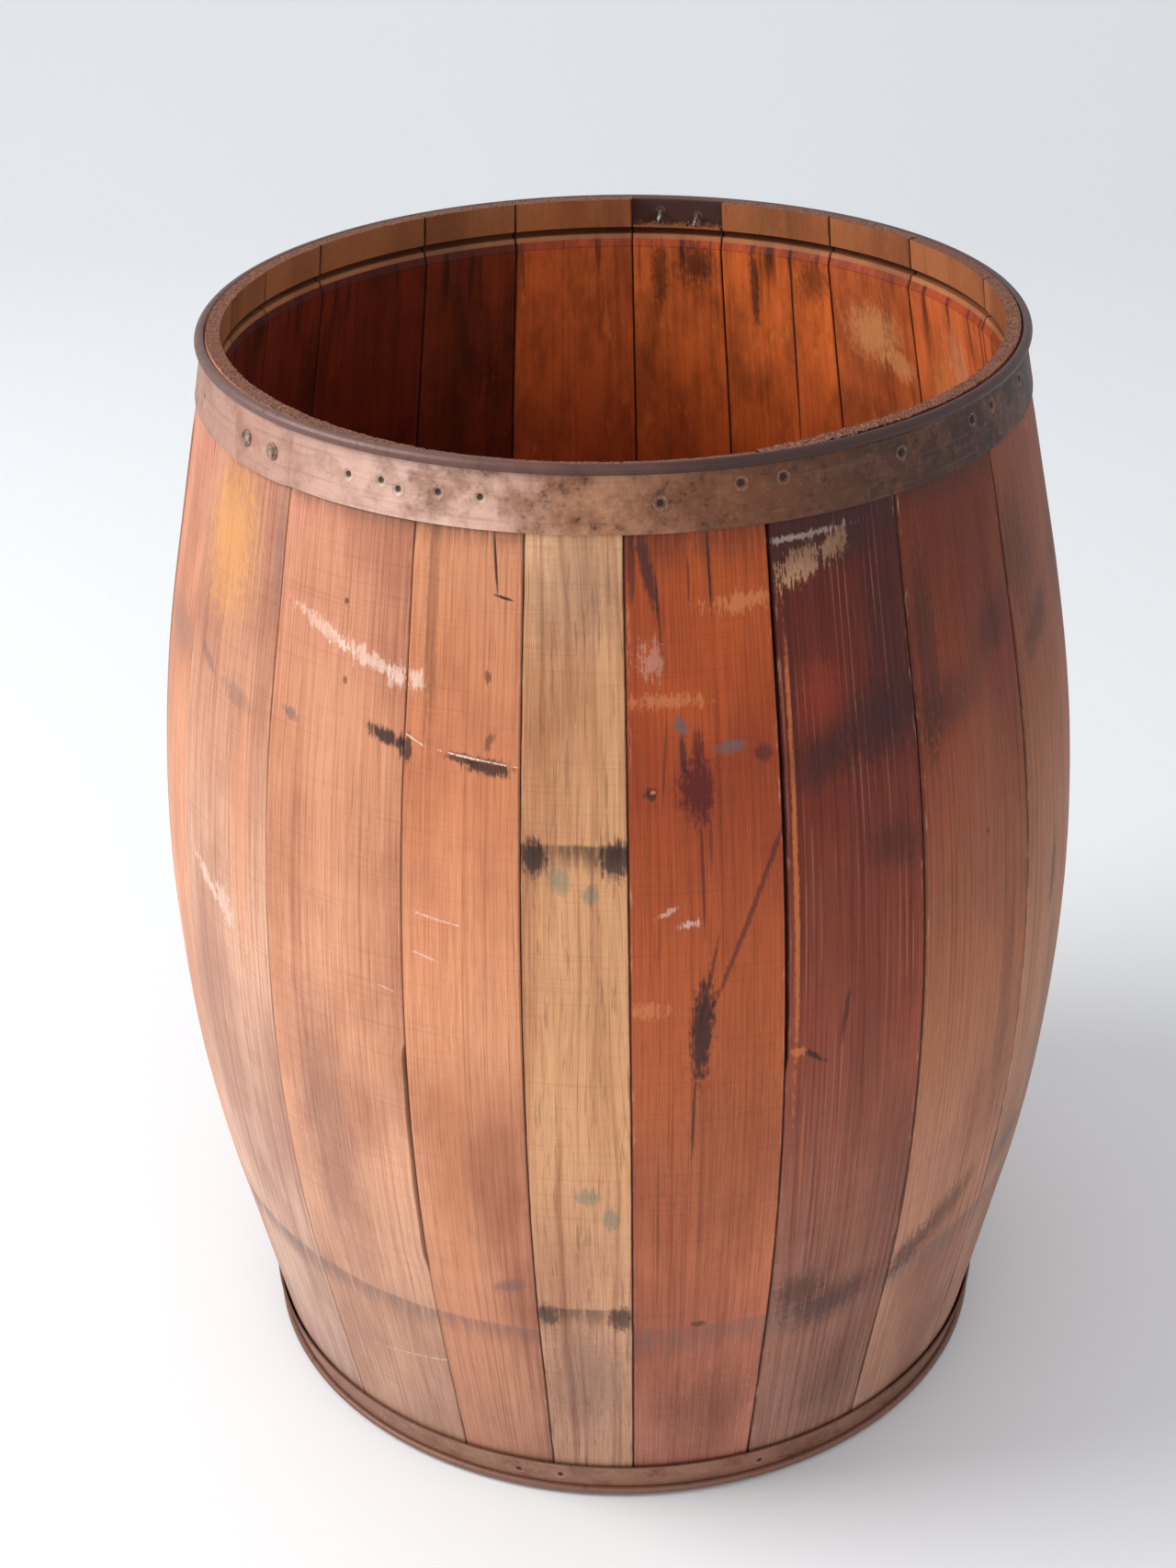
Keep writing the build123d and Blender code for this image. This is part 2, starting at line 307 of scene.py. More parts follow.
# %% [markdown]
# ## The rule of a stave
# Seen from the side, a stave is an arc in its middle and two straight leaning ends. Its outside
# keeps one curve round the barrel. Inside, near each end, a groove called the croze holds the head.
# One tree follows this rule for all the staves, and their ages differ only in its inputs.

# %% The curve of the staves
end_radius = 245 * mm
bend_height = 430 * mm
end_thickness, howel_thickness, stave_thickness = 8.5 * mm, 10 * mm, 14 * mm
croze_setback, croze_width, croze_depth, ledge_height = 20 * mm, 5 * mm, 4 * mm, 8 * mm
lean = 0.0
for _ in range(60):
    lean = atan((bilge_radius - end_radius + bend_height / 2 * tan(lean / 2) / cos(lean))
                / (barrel_height / 2))
bend_radius = bend_height / 2 / sin(lean)
print("the ends lean", round(lean / pi * 180, 2), "degrees, bend radius", round(bend_radius, 3), "m")


def outside_radius(tree, height):
    """Radius of the barrel's outside at a height, as nodes."""
    away = (height - barrel_height / 2).size()
    straight = (barrel_height / 2 - away) * tan(lean) + end_radius
    arc = (bend_radius ** 2 - away * away).high(0.0).root() + (bilge_radius - bend_radius)
    return straight + (arc - straight) * (away < bend_height / 2)


def set_position(tree, geometry, position):
    """A Set Position node, and the geometry that leaves it."""
    made = node(tree, "GeometryNodeSetPosition", {"Geometry": geometry, "Position": position})
    return Field(tree, made.outputs[0])


def store(tree, geometry, name, value, kind="FLOAT"):
    """Keeps a value on the points under a name, for the material to read. It comes before the points
    move, because a field reads the position that its points have at that step."""
    made = node(tree, "GeometryNodeStoreNamedAttribute", {"Geometry": geometry, "Name": name},
                data_type=kind, domain="POINT")
    feed(tree, made.inputs["Value"], value)
    return Field(tree, made.outputs[0])


def finish_tree(tree, geometry, material_field):
    """Every tree ends the same way: nothing left as an instance, and a material on all of it."""
    real = node(tree, "GeometryNodeRealizeInstances", {0: geometry})
    painted = node(tree, "GeometryNodeSetMaterial", {"Geometry": Field(tree, real.outputs[0]),
                                                     "Material": material_field})
    result = tree.nodes.new("NodeGroupOutput")
    tree.links.new(painted.outputs[0], result.inputs[0])

# %% The stave tree
stave_inputs = [("Geometry", GEOMETRY, None), ("Material", "NodeSocketMaterial", None),
                ("Start angle", FLOAT, 0.0), ("Width angle", FLOAT, 15.0), ("Joint gap", FLOAT, 0.12 * mm),
                ("Arris", FLOAT, 0.9 * mm), ("Ridge height", FLOAT, 0.12 * mm), ("Ridge pitch", FLOAT, 5 * mm),
                ("Proud", FLOAT, 0.0), ("Wear", FLOAT, 0.0), ("Wear tilt", FLOAT, 0.0), ("Raggedness", FLOAT, 0.6 * mm),
                ("Left gap", FLOAT, 0.0), ("Right gap", FLOAT, 0.0), ("Gap foot", FLOAT, 0.3),
                ("Gap top", FLOAT, 0.3), ("Seed", FLOAT, 0.0)]
stave_tree, given = new_tree("bend a stave", "GeometryNodeTree", stave_inputs, [("Geometry", GEOMETRY)])
here = Field(stave_tree, node(stave_tree, "GeometryNodeInputPosition").outputs[0])
across, layer, row = here.parts()
width = given["Width angle"] * radians(1)
angle_flat = (given["Start angle"] * radians(1)) + across * width
flat = angle_flat * bilge_radius
depth = barrel_height - row
ragged = noise(stave_tree, vector(stave_tree, flat * 160, layer * 1.2, 0.0), 1.0, given["Seed"], 3.0, 0.7)
splinter = noise(stave_tree, vector(stave_tree, flat * 900, layer * 2.0, 0.0), 1.0, given["Seed"] + 7.0, 1.0)
loss = given["Wear"] + given["Wear tilt"] * (across - 0.5) + given["Raggedness"] * ((ragged - 0.5) * 4.5 + (splinter - 0.5) * 2.0)
loss = loss.low(croze_setback * 0.995).high(-1.4 * mm)
in_chime = depth < croze_setback * 0.999
new_depth = depth + (loss * (1 - depth / croze_setback)) * in_chime
height = barrel_height - new_depth
thickness_here = Field(stave_tree, node(stave_tree, "GeometryNodeInputNamedAttribute", {"Name": "thickness"},
                                        data_type="FLOAT").outputs[0])
change = (howel_thickness - end_thickness) / croze_setback
thickness = (thickness_here + (new_depth - depth) * change) / cos(lean)
radius = outside_radius(stave_tree, height)
edge = (0.5 - (across - 0.5).size()) * width * radius
arris = (1 - (edge / (given["Arris"] * 1.6)).low(1.0)) ** 2.0 * given["Arris"]
wander = noise(stave_tree, vector(stave_tree, flat * 25, 0.0, height * 2.5), 1.0, given["Seed"], 2.0)
ridge = (flat / given["Ridge pitch"] * (2 * pi) + wander * 9).math("SINE")
ridge_fade = noise(stave_tree, vector(stave_tree, flat * 60, 0.0, height * 9), 1.0, given["Seed"], 2.0)
ridge = ridge * ridge_fade.smooth(0.3, 0.65)
ridges = ridge * given["Ridge height"]
swell = (noise(stave_tree, vector(stave_tree, flat * 14, 0.0, height * 5), 1.0, given["Seed"], 1.0) - 0.5)
under_hoop = (barrel_height / 2 - (height - barrel_height / 2).size()).smooth(66 * mm, 40 * mm)
loose = given["Proud"] + ridges + swell * (1.6 * mm)
surface = loose * (1 - under_hoop) - under_hoop * (0.15 * mm) - arris
radius = radius - thickness * (1 - layer) + surface * layer + arris * (1 - layer)
in_gap = height.smooth(given["Gap foot"] - 12 * mm, given["Gap foot"] + 6 * mm)
in_gap = in_gap * height.smooth(given["Gap top"] + 4 * mm, given["Gap top"] - 4 * mm)
gap_wander = noise(stave_tree, vector(stave_tree, 0.0, 0.0, height * 40), 1.0, given["Seed"], 2.0) + 0.5
opening = in_gap * layer * layer * gap_wander
squeeze_left = (given["Joint gap"] + opening * given["Left gap"]) / radius
squeeze_right = (given["Joint gap"] + opening * given["Right gap"]) / radius
angle = angle_flat + squeeze_left * (1 - across) ** 6.0 - squeeze_right * across ** 6.0
bent = vector(stave_tree, radius * angle.math("SINE"), -(radius * angle.math("COSINE")), height)
wood_place = vector(stave_tree, flat, thickness * (layer - 1), height)
geometry = store(stave_tree, given["Geometry"], "edge", edge)
geometry = store(stave_tree, geometry, "ridge", ridge)
geometry = store(stave_tree, geometry, "place", wood_place, "FLOAT_VECTOR")
geometry = set_position(stave_tree, geometry, bent)
finish_tree(stave_tree, geometry, given["Material"])
print("the stave tree has", len(stave_tree.nodes), "nodes")

# %% Stave blanks
stave_layers = [0.0, 0.35, 0.7, 1.0]


def stave_rows():
    """(height, wall thickness) of each row of points, crowded at the ends and at the croze."""
    groove_floor = howel_thickness - croze_depth
    groove_end = croze_setback + croze_width
    end_rows = []
    for share in (0, 0.04, 0.12, 0.25, 0.42, 0.6, 0.8, 0.998):
        end_rows.append((share * croze_setback, end_thickness + (howel_thickness - end_thickness) * share))
    end_rows += [(croze_setback, groove_floor), (groove_end, groove_floor)]
    ledge_end = groove_end + ledge_height
    end_rows += [(groove_end + 0.05 * mm, howel_thickness), (ledge_end - 0.4 * mm, stave_thickness - 0.2 * mm),
                 (ledge_end, stave_thickness), (ledge_end + 0.6 * mm, stave_thickness)]
    main_step = 5 * mm
    low = end_rows[-1][0]
    steps = round((barrel_height - 2 * low) / main_step)
    main = [(low + (barrel_height - 2 * low) * i / steps, stave_thickness) for i in range(1, steps)]
    upper = [(barrel_height - depth, wall) for depth, wall in reversed(end_rows)]
    return end_rows + main + upper


def stave_blank(width, pitch):
    """A blank for a stave of a width in degrees, with columns a pitch apart and more at its edges."""
    span = radians(width) * bilge_radius
    edge_columns = [0, 0.35 * mm, 0.8 * mm, 1.5 * mm, 2.6 * mm]
    inner = span - 2 * edge_columns[-1]
    steps = round(inner / pitch)
    columns = edge_columns[:-1] + [edge_columns[-1] + inner * i / steps for i in range(steps + 1)]
    columns += [span - value for value in reversed(edge_columns[:-1])]
    rows = stave_rows()
    return lattice("blank", [value / span for value in columns], [row for row, _ in rows], stave_layers,
                   [wall for _, wall in rows])

# %% [markdown]
# ## Finishes as groups
# Old softwood shows fine rings along its length, blots of rust and wine, scratches, dirt and painted shade in its
# joints, and pale bands where lost hoops once sat. Each effect is one group, built once. A material places the group
# with its own values, so that no two staves look alike.

# %% Helpers for colour
def linear(red, green, blue):
    """A colour as painters pick it, 0 to 255, as the light values that a shader uses."""
    return tuple((value / 255 / 12.92) if value <= 10 else ((value / 255 + 0.055) / 1.055) ** 2.4
                 for value in (red, green, blue)) + (1.0,)


def blend(tree, factor, first, second, mode="MIX"):
    """Mixes two colours."""
    made = node(tree, "ShaderNodeMix", data_type="RGBA", blend_type=mode, clamp_factor=True)
    for index, value in ((0, factor), (6, first), (7, second)):
        feed(tree, made.inputs[index], value)
    return Field(tree, made.outputs[2])


def ramp(tree, value, stops):
    """A colour that changes along a value, given as (position, colour)."""
    made = node(tree, "ShaderNodeValToRGB", {"Fac": value})
    elements = made.color_ramp.elements
    while len(elements) < len(stops):
        elements.new(0.5)
    for element, (position, colour) in zip(elements, stops):
        element.position = position
    for element, (position, colour) in zip(elements, stops):
        element.color = colour
    return Field(tree, made.outputs[0])


def attribute(tree, name, output="Fac"):
    """A value that the shape's own tree or mesh keeps on its points or faces."""
    made = node(tree, "ShaderNodeAttribute", attribute_name=name)
    return Field(tree, made.outputs[output])


def use(tree, group, output, inputs):
    """Places a finish group with its own values."""
    made = tree.nodes.new("ShaderNodeGroup")
    made.node_tree = group
    for key, value in inputs.items():
        feed(tree, made.inputs[key], value)
    return Field(tree, made.outputs[output])


def close_group(tree, results):
    """Links the results of a group to its named outputs."""
    result = tree.nodes.new("NodeGroupOutput")
    for name, value in results.items():
        feed(tree, result.inputs[name], value)

# %% [markdown]
# Fir grows in rings that are nearly straight in a sawn stave. The rings come from noise that is
# stretched along the length, bent a little by a wider noise. The fibres are the same, much finer.

# %% Group: fir grain
grain_group, given = new_tree("fir grain", "ShaderNodeTree",
                              [("Place", VECTOR, None), ("Seed", FLOAT, 0.0), ("Ring pitch", FLOAT, 3 * mm),
                               ("Waviness", FLOAT, 0.3)],
                              [("Rings", FLOAT), ("Fibres", FLOAT), ("Cloud", FLOAT)])
x, y, z = given["Place"].parts()
bend = noise(grain_group, vector(grain_group, x * 16, y * 16, z * 2.2), 1.0, given["Seed"], 2.0)
bent_x = x + (bend - 0.5) * given["Waviness"] * 40 * mm
ring_place = vector(grain_group, bent_x / given["Ring pitch"], y / given["Ring pitch"], z * 3)
rings = noise(grain_group, ring_place, 1.0, given["Seed"], 3.0, 0.6)
fibre_place = vector(grain_group, bent_x * 2200, y * 2200, z * 30)
fibres = noise(grain_group, fibre_place, 1.0, given["Seed"], 3.0, 0.65)
cloud = noise(grain_group, vector(grain_group, x * 9, y * 9, z * 4), 1.0, given["Seed"] + 3.0, 4.0, 0.6)
close_group(grain_group, {"Rings": rings, "Fibres": fibres, "Cloud": cloud})

# %% [markdown]
# A blot, a dent or a scratch is a soft ellipse round a point, turned to its own direction, with a
# ragged edge. A scratch is the same thing, a hundred times longer than it is wide.

# %% Group: blot
blot_group, given = new_tree("blot", "ShaderNodeTree",
                             [("Place", VECTOR, None), ("Centre x", FLOAT, 0.0), ("Centre z", FLOAT, 0.0),
                              ("Half width", FLOAT, 5 * mm), ("Half height", FLOAT, 5 * mm),
                              ("Turn", FLOAT, 0.0), ("Ragged", FLOAT, 0.5), ("Soft", FLOAT, 0.5)],
                             [("Mask", FLOAT)])
x, y, z = given["Place"].parts()
wobble = noise(blot_group, vector(blot_group, x * 330, 0.0, z * 200), 1.0, given["Centre x"], 3.0, 0.6)
streak = noise(blot_group, vector(blot_group, x * 900, 0.0, z * 22), 1.0, given["Centre z"], 3.0, 0.6)
from_x, from_z = x - given["Centre x"], z - given["Centre z"]
turn_cos, turn_sin = given["Turn"].math("COSINE"), given["Turn"].math("SINE")
along = (from_x * turn_cos + from_z * turn_sin) / given["Half width"]
over = (from_z * turn_cos - from_x * turn_sin) / given["Half height"]
reach = (along * along + over * over).root()
reach = reach + ((wobble - 0.5) * 3.5 + (streak - 0.5) * 3.0) * given["Ragged"]
close_group(blot_group, {"Mask": reach.smooth(given["Soft"] * 0.6 + 1.0, 1.0 - given["Soft"])})

# %% [markdown]
# Where a hoop has sat for years the wood is stained in a level band, sharp above and feathered below, where rust and
# wine ran down. Just below the top hoop, the same band is partly rust run and partly painted shade under the hoop.

# %% Group: hoop shadow
shadow_group, given = new_tree("hoop shadow", "ShaderNodeTree",
                               [("Place", VECTOR, None), ("Height", FLOAT, 0.5), ("Depth", FLOAT, 10 * mm),
                                ("Run", FLOAT, 8 * mm), ("Seed", FLOAT, 0.0)],
                               [("Mask", FLOAT)])
x, y, z = given["Place"].parts()
runs = noise(shadow_group, vector(shadow_group, x * 260, 0.0, z * 25), 1.0, given["Seed"], 3.0, 0.7)
level = noise(shadow_group, vector(shadow_group, x * 45, 0.0, 0.0), 1.0, given["Seed"] + 5.0, 2.0)
top_edge = given["Height"] + (level - 0.5) * 4 * mm
below = top_edge - z
mask = below.smooth(-1.2 * mm, 1.5 * mm) * below.smooth(given["Depth"] + given["Run"] * (runs * 2.4),
                                                       given["Depth"] * 0.4)
close_group(shadow_group, {"Mask": mask * runs.smooth(0.25, 0.6)})

# %% [markdown]
# ## The wood of each stave
# Every stave has its own board, age and stains. The colour runs from head to foot, and the paler, greyer foot is partly
# painted sheen. The rings and fibres darken it. The joint gathers dirt and painted shade beside a pale worn edge. The
# inside and the end grain have their own tones, and the inside tones carry painted light on the right, painted shade on
# the left and lower down, and painted shade in the croze.

# %% The stave material
RUST_BLACK, WINE, CHALK, GLUE = (34, 24, 26), (84, 20, 18), (236, 208, 190), (92, 122, 104)
BLUE_GREY, SMOKE, PALE_CUT = (104, 88, 88), (50, 24, 22), (210, 160, 120)
OLD_YELLOW, TAN, FRESH = (224, 158, 84), (206, 128, 80), (204, 112, 56)
SCUFFS = (CHALK, PALE_CUT, TAN)


def add_marks(tree, place, colour, height, marks):
    """Lays marks over a colour. Thin ones are scratches or cracks, so they lower the surface too."""
    for angle, level, half_width, half_height, turned, tone, strength in marks:
        thinner = min(half_width, half_height)
        reach = 1.3 if thinner > 1.2 else 1.1
        blot = {"Place": place, "Centre x": radians(angle) * bilge_radius, "Centre z": level * mm,
                "Half width": half_width * reach * mm, "Half height": half_height * reach * mm,
                "Turn": radians(turned), "Ragged": 1.1 if tone in SCUFFS else 0.5 if thinner > 1.2 else 0.2,
                "Soft": 0.75 if thinner > 9 else 0.45}
        mask = use(tree, blot_group, "Mask", blot)
        colour = blend(tree, mask * strength, colour, linear(*tone))
        if thinner < 1.2:
            height = height - mask * 0.5
    return colour, height


def stave_material(number, tones, marks=(), bands=(), inner_marks=(), ring_pitch=2.2 * mm, waviness=0.2, ring_dark=0.4,
                   ridge_pale=0.0, roughness=0.58, lit_and_shaded_inside_tone=(150, 84, 50), chalk=0.06,
                   joint_grime_and_shade_strength=0.7, fleck_dark=0.12):
    """One stave's wood: tones run from foot to head, marks and bands are (…, colour, strength)."""
    material = bpy.data.materials.new(f"stave_{number:02d}_wood")
    material.use_nodes = True
    tree = material.node_tree
    place = attribute(tree, "place", "Vector")
    x, y, z = place.parts()
    seed = number * 3.7
    grain = {"Place": place, "Seed": seed, "Ring pitch": ring_pitch, "Waviness": waviness}
    rings = use(tree, grain_group, "Rings", grain)
    fibres = use(tree, grain_group, "Fibres", grain)
    cloud = use(tree, grain_group, "Cloud", grain)
    stops = [(i / (len(tones) - 1), linear(*tone)) for i, tone in enumerate(tones)]
    colour = ramp(tree, z / barrel_height + (cloud - 0.5) * 0.3, stops)
    colour = blend(tree, rings.smooth(0.42, 0.72) * ring_dark, colour, linear(150, 80, 50), "MULTIPLY")
    colour = blend(tree, cloud.smooth(0.6, 0.3) * 0.6, colour, linear(165, 120, 100), "MULTIPLY")
    plane_marks = noise(tree, vector(tree, x * 12, 0.0, z * 700), 1.0, seed, 2.0, 0.6)
    colour = blend(tree, plane_marks.smooth(0.52, 0.7) * 0.12, colour, linear(110, 70, 60), "MULTIPLY")
    colour = blend(tree, fibres.smooth(0.48, 0.72) * 0.5, colour, linear(140, 90, 70), "MULTIPLY")
    colour = blend(tree, fibres.smooth(0.45, 0.22) * chalk, colour, linear(*CHALK))
    ridge = attribute(tree, "ridge")
    colour = blend(tree, ridge.smooth(0.45, 0.95) * ridge_pale, colour, linear(186, 116, 92))
    height = rings * 0.35 + fibres * 0.5 + plane_marks * 0.2
    for band_height, depth, run, tone, strength in bands:
        shadow = {"Place": place, "Height": band_height * mm, "Depth": depth * mm, "Run": run * mm, "Seed": seed}
        mask = use(tree, shadow_group, "Mask", shadow)
        colour = blend(tree, mask * strength, colour, linear(*tone))
    colour, height = add_marks(tree, place, colour, height, marks)
    edge = attribute(tree, "edge")
    edge_noise = noise(tree, vector(tree, x * 400, 0.0, z * 60), 1.0, seed, 3.0, 0.7)
    worn = edge.smooth(3.6 * mm, 1.4 * mm) * edge_noise.smooth(0.52, 0.7)
    colour = blend(tree, worn * 0.45, colour, linear(214, 158, 128))
    # The dark line along each joint is partly dirt and partly painted shade in the groove between staves.
    grime_and_groove_shade = (edge + (edge_noise - 0.5) * 1.2 * mm).smooth(1.1 * mm, 0.2 * mm)
    colour = blend(tree, grime_and_groove_shade * joint_grime_and_shade_strength, colour, linear(52, 22, 16))
    flecks = noise(tree, vector(tree, x * 320 + rings * 1.5, 0.0, z * 26), 1.0, seed, 3.0, 0.6)
    colour = blend(tree, flecks.smooth(0.57, 0.66) * fleck_dark, colour, linear(92, 58, 42))
    height = height - flecks.smooth(0.57, 0.66) * fleck_dark
    inside, end = attribute(tree, "inside"), attribute(tree, "end")
    blotches = noise(tree, vector(tree, x * 34, 0.0, z * 16), 1.0, seed + 7, 5.0, 0.68)
    inner = ramp(tree, cloud * 0.35 + blotches * 0.65, [(0.36, linear(*(value * 0.62 for value in lit_and_shaded_inside_tone))),
                                                        (0.56, linear(*lit_and_shaded_inside_tone))])
    inner = blend(tree, rings.smooth(0.42, 0.7) * 0.28, inner, linear(150, 96, 70), "MULTIPLY")
    near_end = (barrel_height / 2 - (z - barrel_height / 2).size())
    drips = noise(tree, vector(tree, x * 90, 0.0, z * 7), 1.0, seed + 9, 3.0, 0.6)
    drip_depth = near_end.smooth(90 * mm, 34 * mm)
    inner = blend(tree, drips.smooth(0.54, 0.66) * (drip_depth * 0.6 + 0.15), inner, linear(40, 16, 14))
    rubbed = noise(tree, vector(tree, x * 70, 0.0, z * 26), 1.0, seed + 5, 4.0, 0.65)
    inner = blend(tree, rubbed.smooth(0.58, 0.7) * 0.5, inner, linear(*(min(255, value * 1.25) for value in lit_and_shaded_inside_tone)))
    # Painted shade: the inside darkens lower down, from 0.66 m to 0.5 m, deeper in the barrel.
    inner = blend(tree, z.smooth(0.66, 0.5) * 0.6, inner, linear(168, 120, 100), "MULTIPLY")
    inner, height = add_marks(tree, place, inner, height, inner_marks)
    howel = blend(tree, fibres.smooth(0.45, 0.7) * 0.5, linear(186, 122, 76), linear(128, 72, 44))
    howel = blend(tree, cloud.smooth(0.6, 0.4) * 0.5, howel, linear(96, 52, 36))
    # Painted shade: the inside ledge below the croze, 28 to 34 mm from the end, is darkened; the howel colour on the
    # next line covers the part nearer the end.
    inner = blend(tree, near_end.smooth(34 * mm, 33 * mm) * 0.75, inner, linear(168, 116, 100), "MULTIPLY")
    inner = blend(tree, near_end.smooth(28.5 * mm, 27.5 * mm) * 0.75, inner, howel)
    # Painted shade: the croze groove, 20 to 25 mm from the end, is painted near black.
    in_croze = near_end.smooth(19.9 * mm, 20.1 * mm) * near_end.smooth(25.1 * mm, 24.9 * mm)
    inner = blend(tree, in_croze * 0.8, inner, linear(36, 18, 14))
    # Inside, the joints are painted near black: dirt and painted shade in the groove.
    inner = blend(tree, grime_and_groove_shade * 0.9, inner, linear(26, 12, 9))
    colour = blend(tree, inside, colour, inner)
    end_place = vector(tree, x * 900, y * 1500, 0.0)
    end_grain = noise(tree, end_place, 1.0, seed, 3.0, 0.6)
    end_colour = ramp(tree, end_grain, [(0.38, linear(44, 22, 16)), (0.52, linear(110, 62, 42)),
                                        (0.7, linear(186, 132, 100))])
    colour = blend(tree, end, colour, end_colour)
    shader = tree.nodes["Principled BSDF"]
    shader.inputs["Specular IOR Level"].default_value = 0.28
    feed(tree, shader.inputs["Base Color"], colour)
    feed(tree, shader.inputs["Roughness"], cloud * 0.25 + fibres * 0.2 + (roughness - 0.22))
    bump = node(tree, "ShaderNodeBump", {"Height": height, "Strength": 0.55, "Distance": 0.5 * mm})
    feed(tree, shader.inputs["Normal"], Field(tree, bump.outputs[0]))
    return material

# %% [markdown]
# ## The staves
# The widths differ, as they do when boards of any width are used up. Three staves at the front are shorter, one at the
# back has lost its chime, and one joint gapes. The tones are given stave by stave: pale and pinkish at the left, dark
# maroon at the right.

# %% Stave sizes and tones
stave_widths = (17.5, 18.5, 20, 14.5, 15.5, 15.5, 22.5, 17, 19.5, 15, 19.5, 16, 21.5, 15, 14, 16, 16, 20.5,
                20, 14, 12)
first_joint = 1.0
# The lower stops of each table are paler and greyer partly as painted sheen, the bright floor's reflection on the lower
# staves, over the wood's own tone.
PINKISH = [(204, 172, 156), (232, 194, 170), (228, 180, 152), (208, 150, 118), (198, 140, 114)]
LIGHT = [(182, 144, 122), (220, 168, 138), (238, 174, 136), (216, 150, 112), (206, 140, 112)]
ORANGE = [(182, 132, 108), (212, 146, 112), (234, 164, 122), (218, 140, 96), (204, 138, 100)]
RED = [(180, 122, 104), (210, 126, 88), (190, 100, 56), (180, 78, 32), (196, 92, 32)]
MAROON = [(172, 132, 112), (172, 118, 98), (162, 82, 58), (120, 42, 20), (84, 26, 10)]
DARK = [(184, 144, 122), (202, 148, 120), (178, 116, 82), (142, 66, 36), (102, 38, 16)]
BROWN = [(166, 118, 98), (194, 150, 124), (190, 134, 102), (146, 82, 50), (130, 64, 36)]
PALE = [(190, 146, 120), (216, 162, 126), (226, 166, 118), (216, 158, 112), (234, 182, 134)]
all_tones = {1: RED, 2: MAROON, 3: DARK, 4: BROWN, 5: BROWN, 6: RED, 7: DARK, 8: BROWN, 9: RED, 10: ORANGE,
             11: DARK, 12: RED, 13: BROWN, 14: LIGHT, 15: ORANGE, 16: PINKISH, 17: LIGHT, 18: PINKISH, 19: LIGHT,
             20: ORANGE, 21: PALE}

# %% [markdown]
# The marks are (angle, height, half width, half height, turn, colour, strength), in degrees and
# millimetres. The angle runs round the barrel from its front.

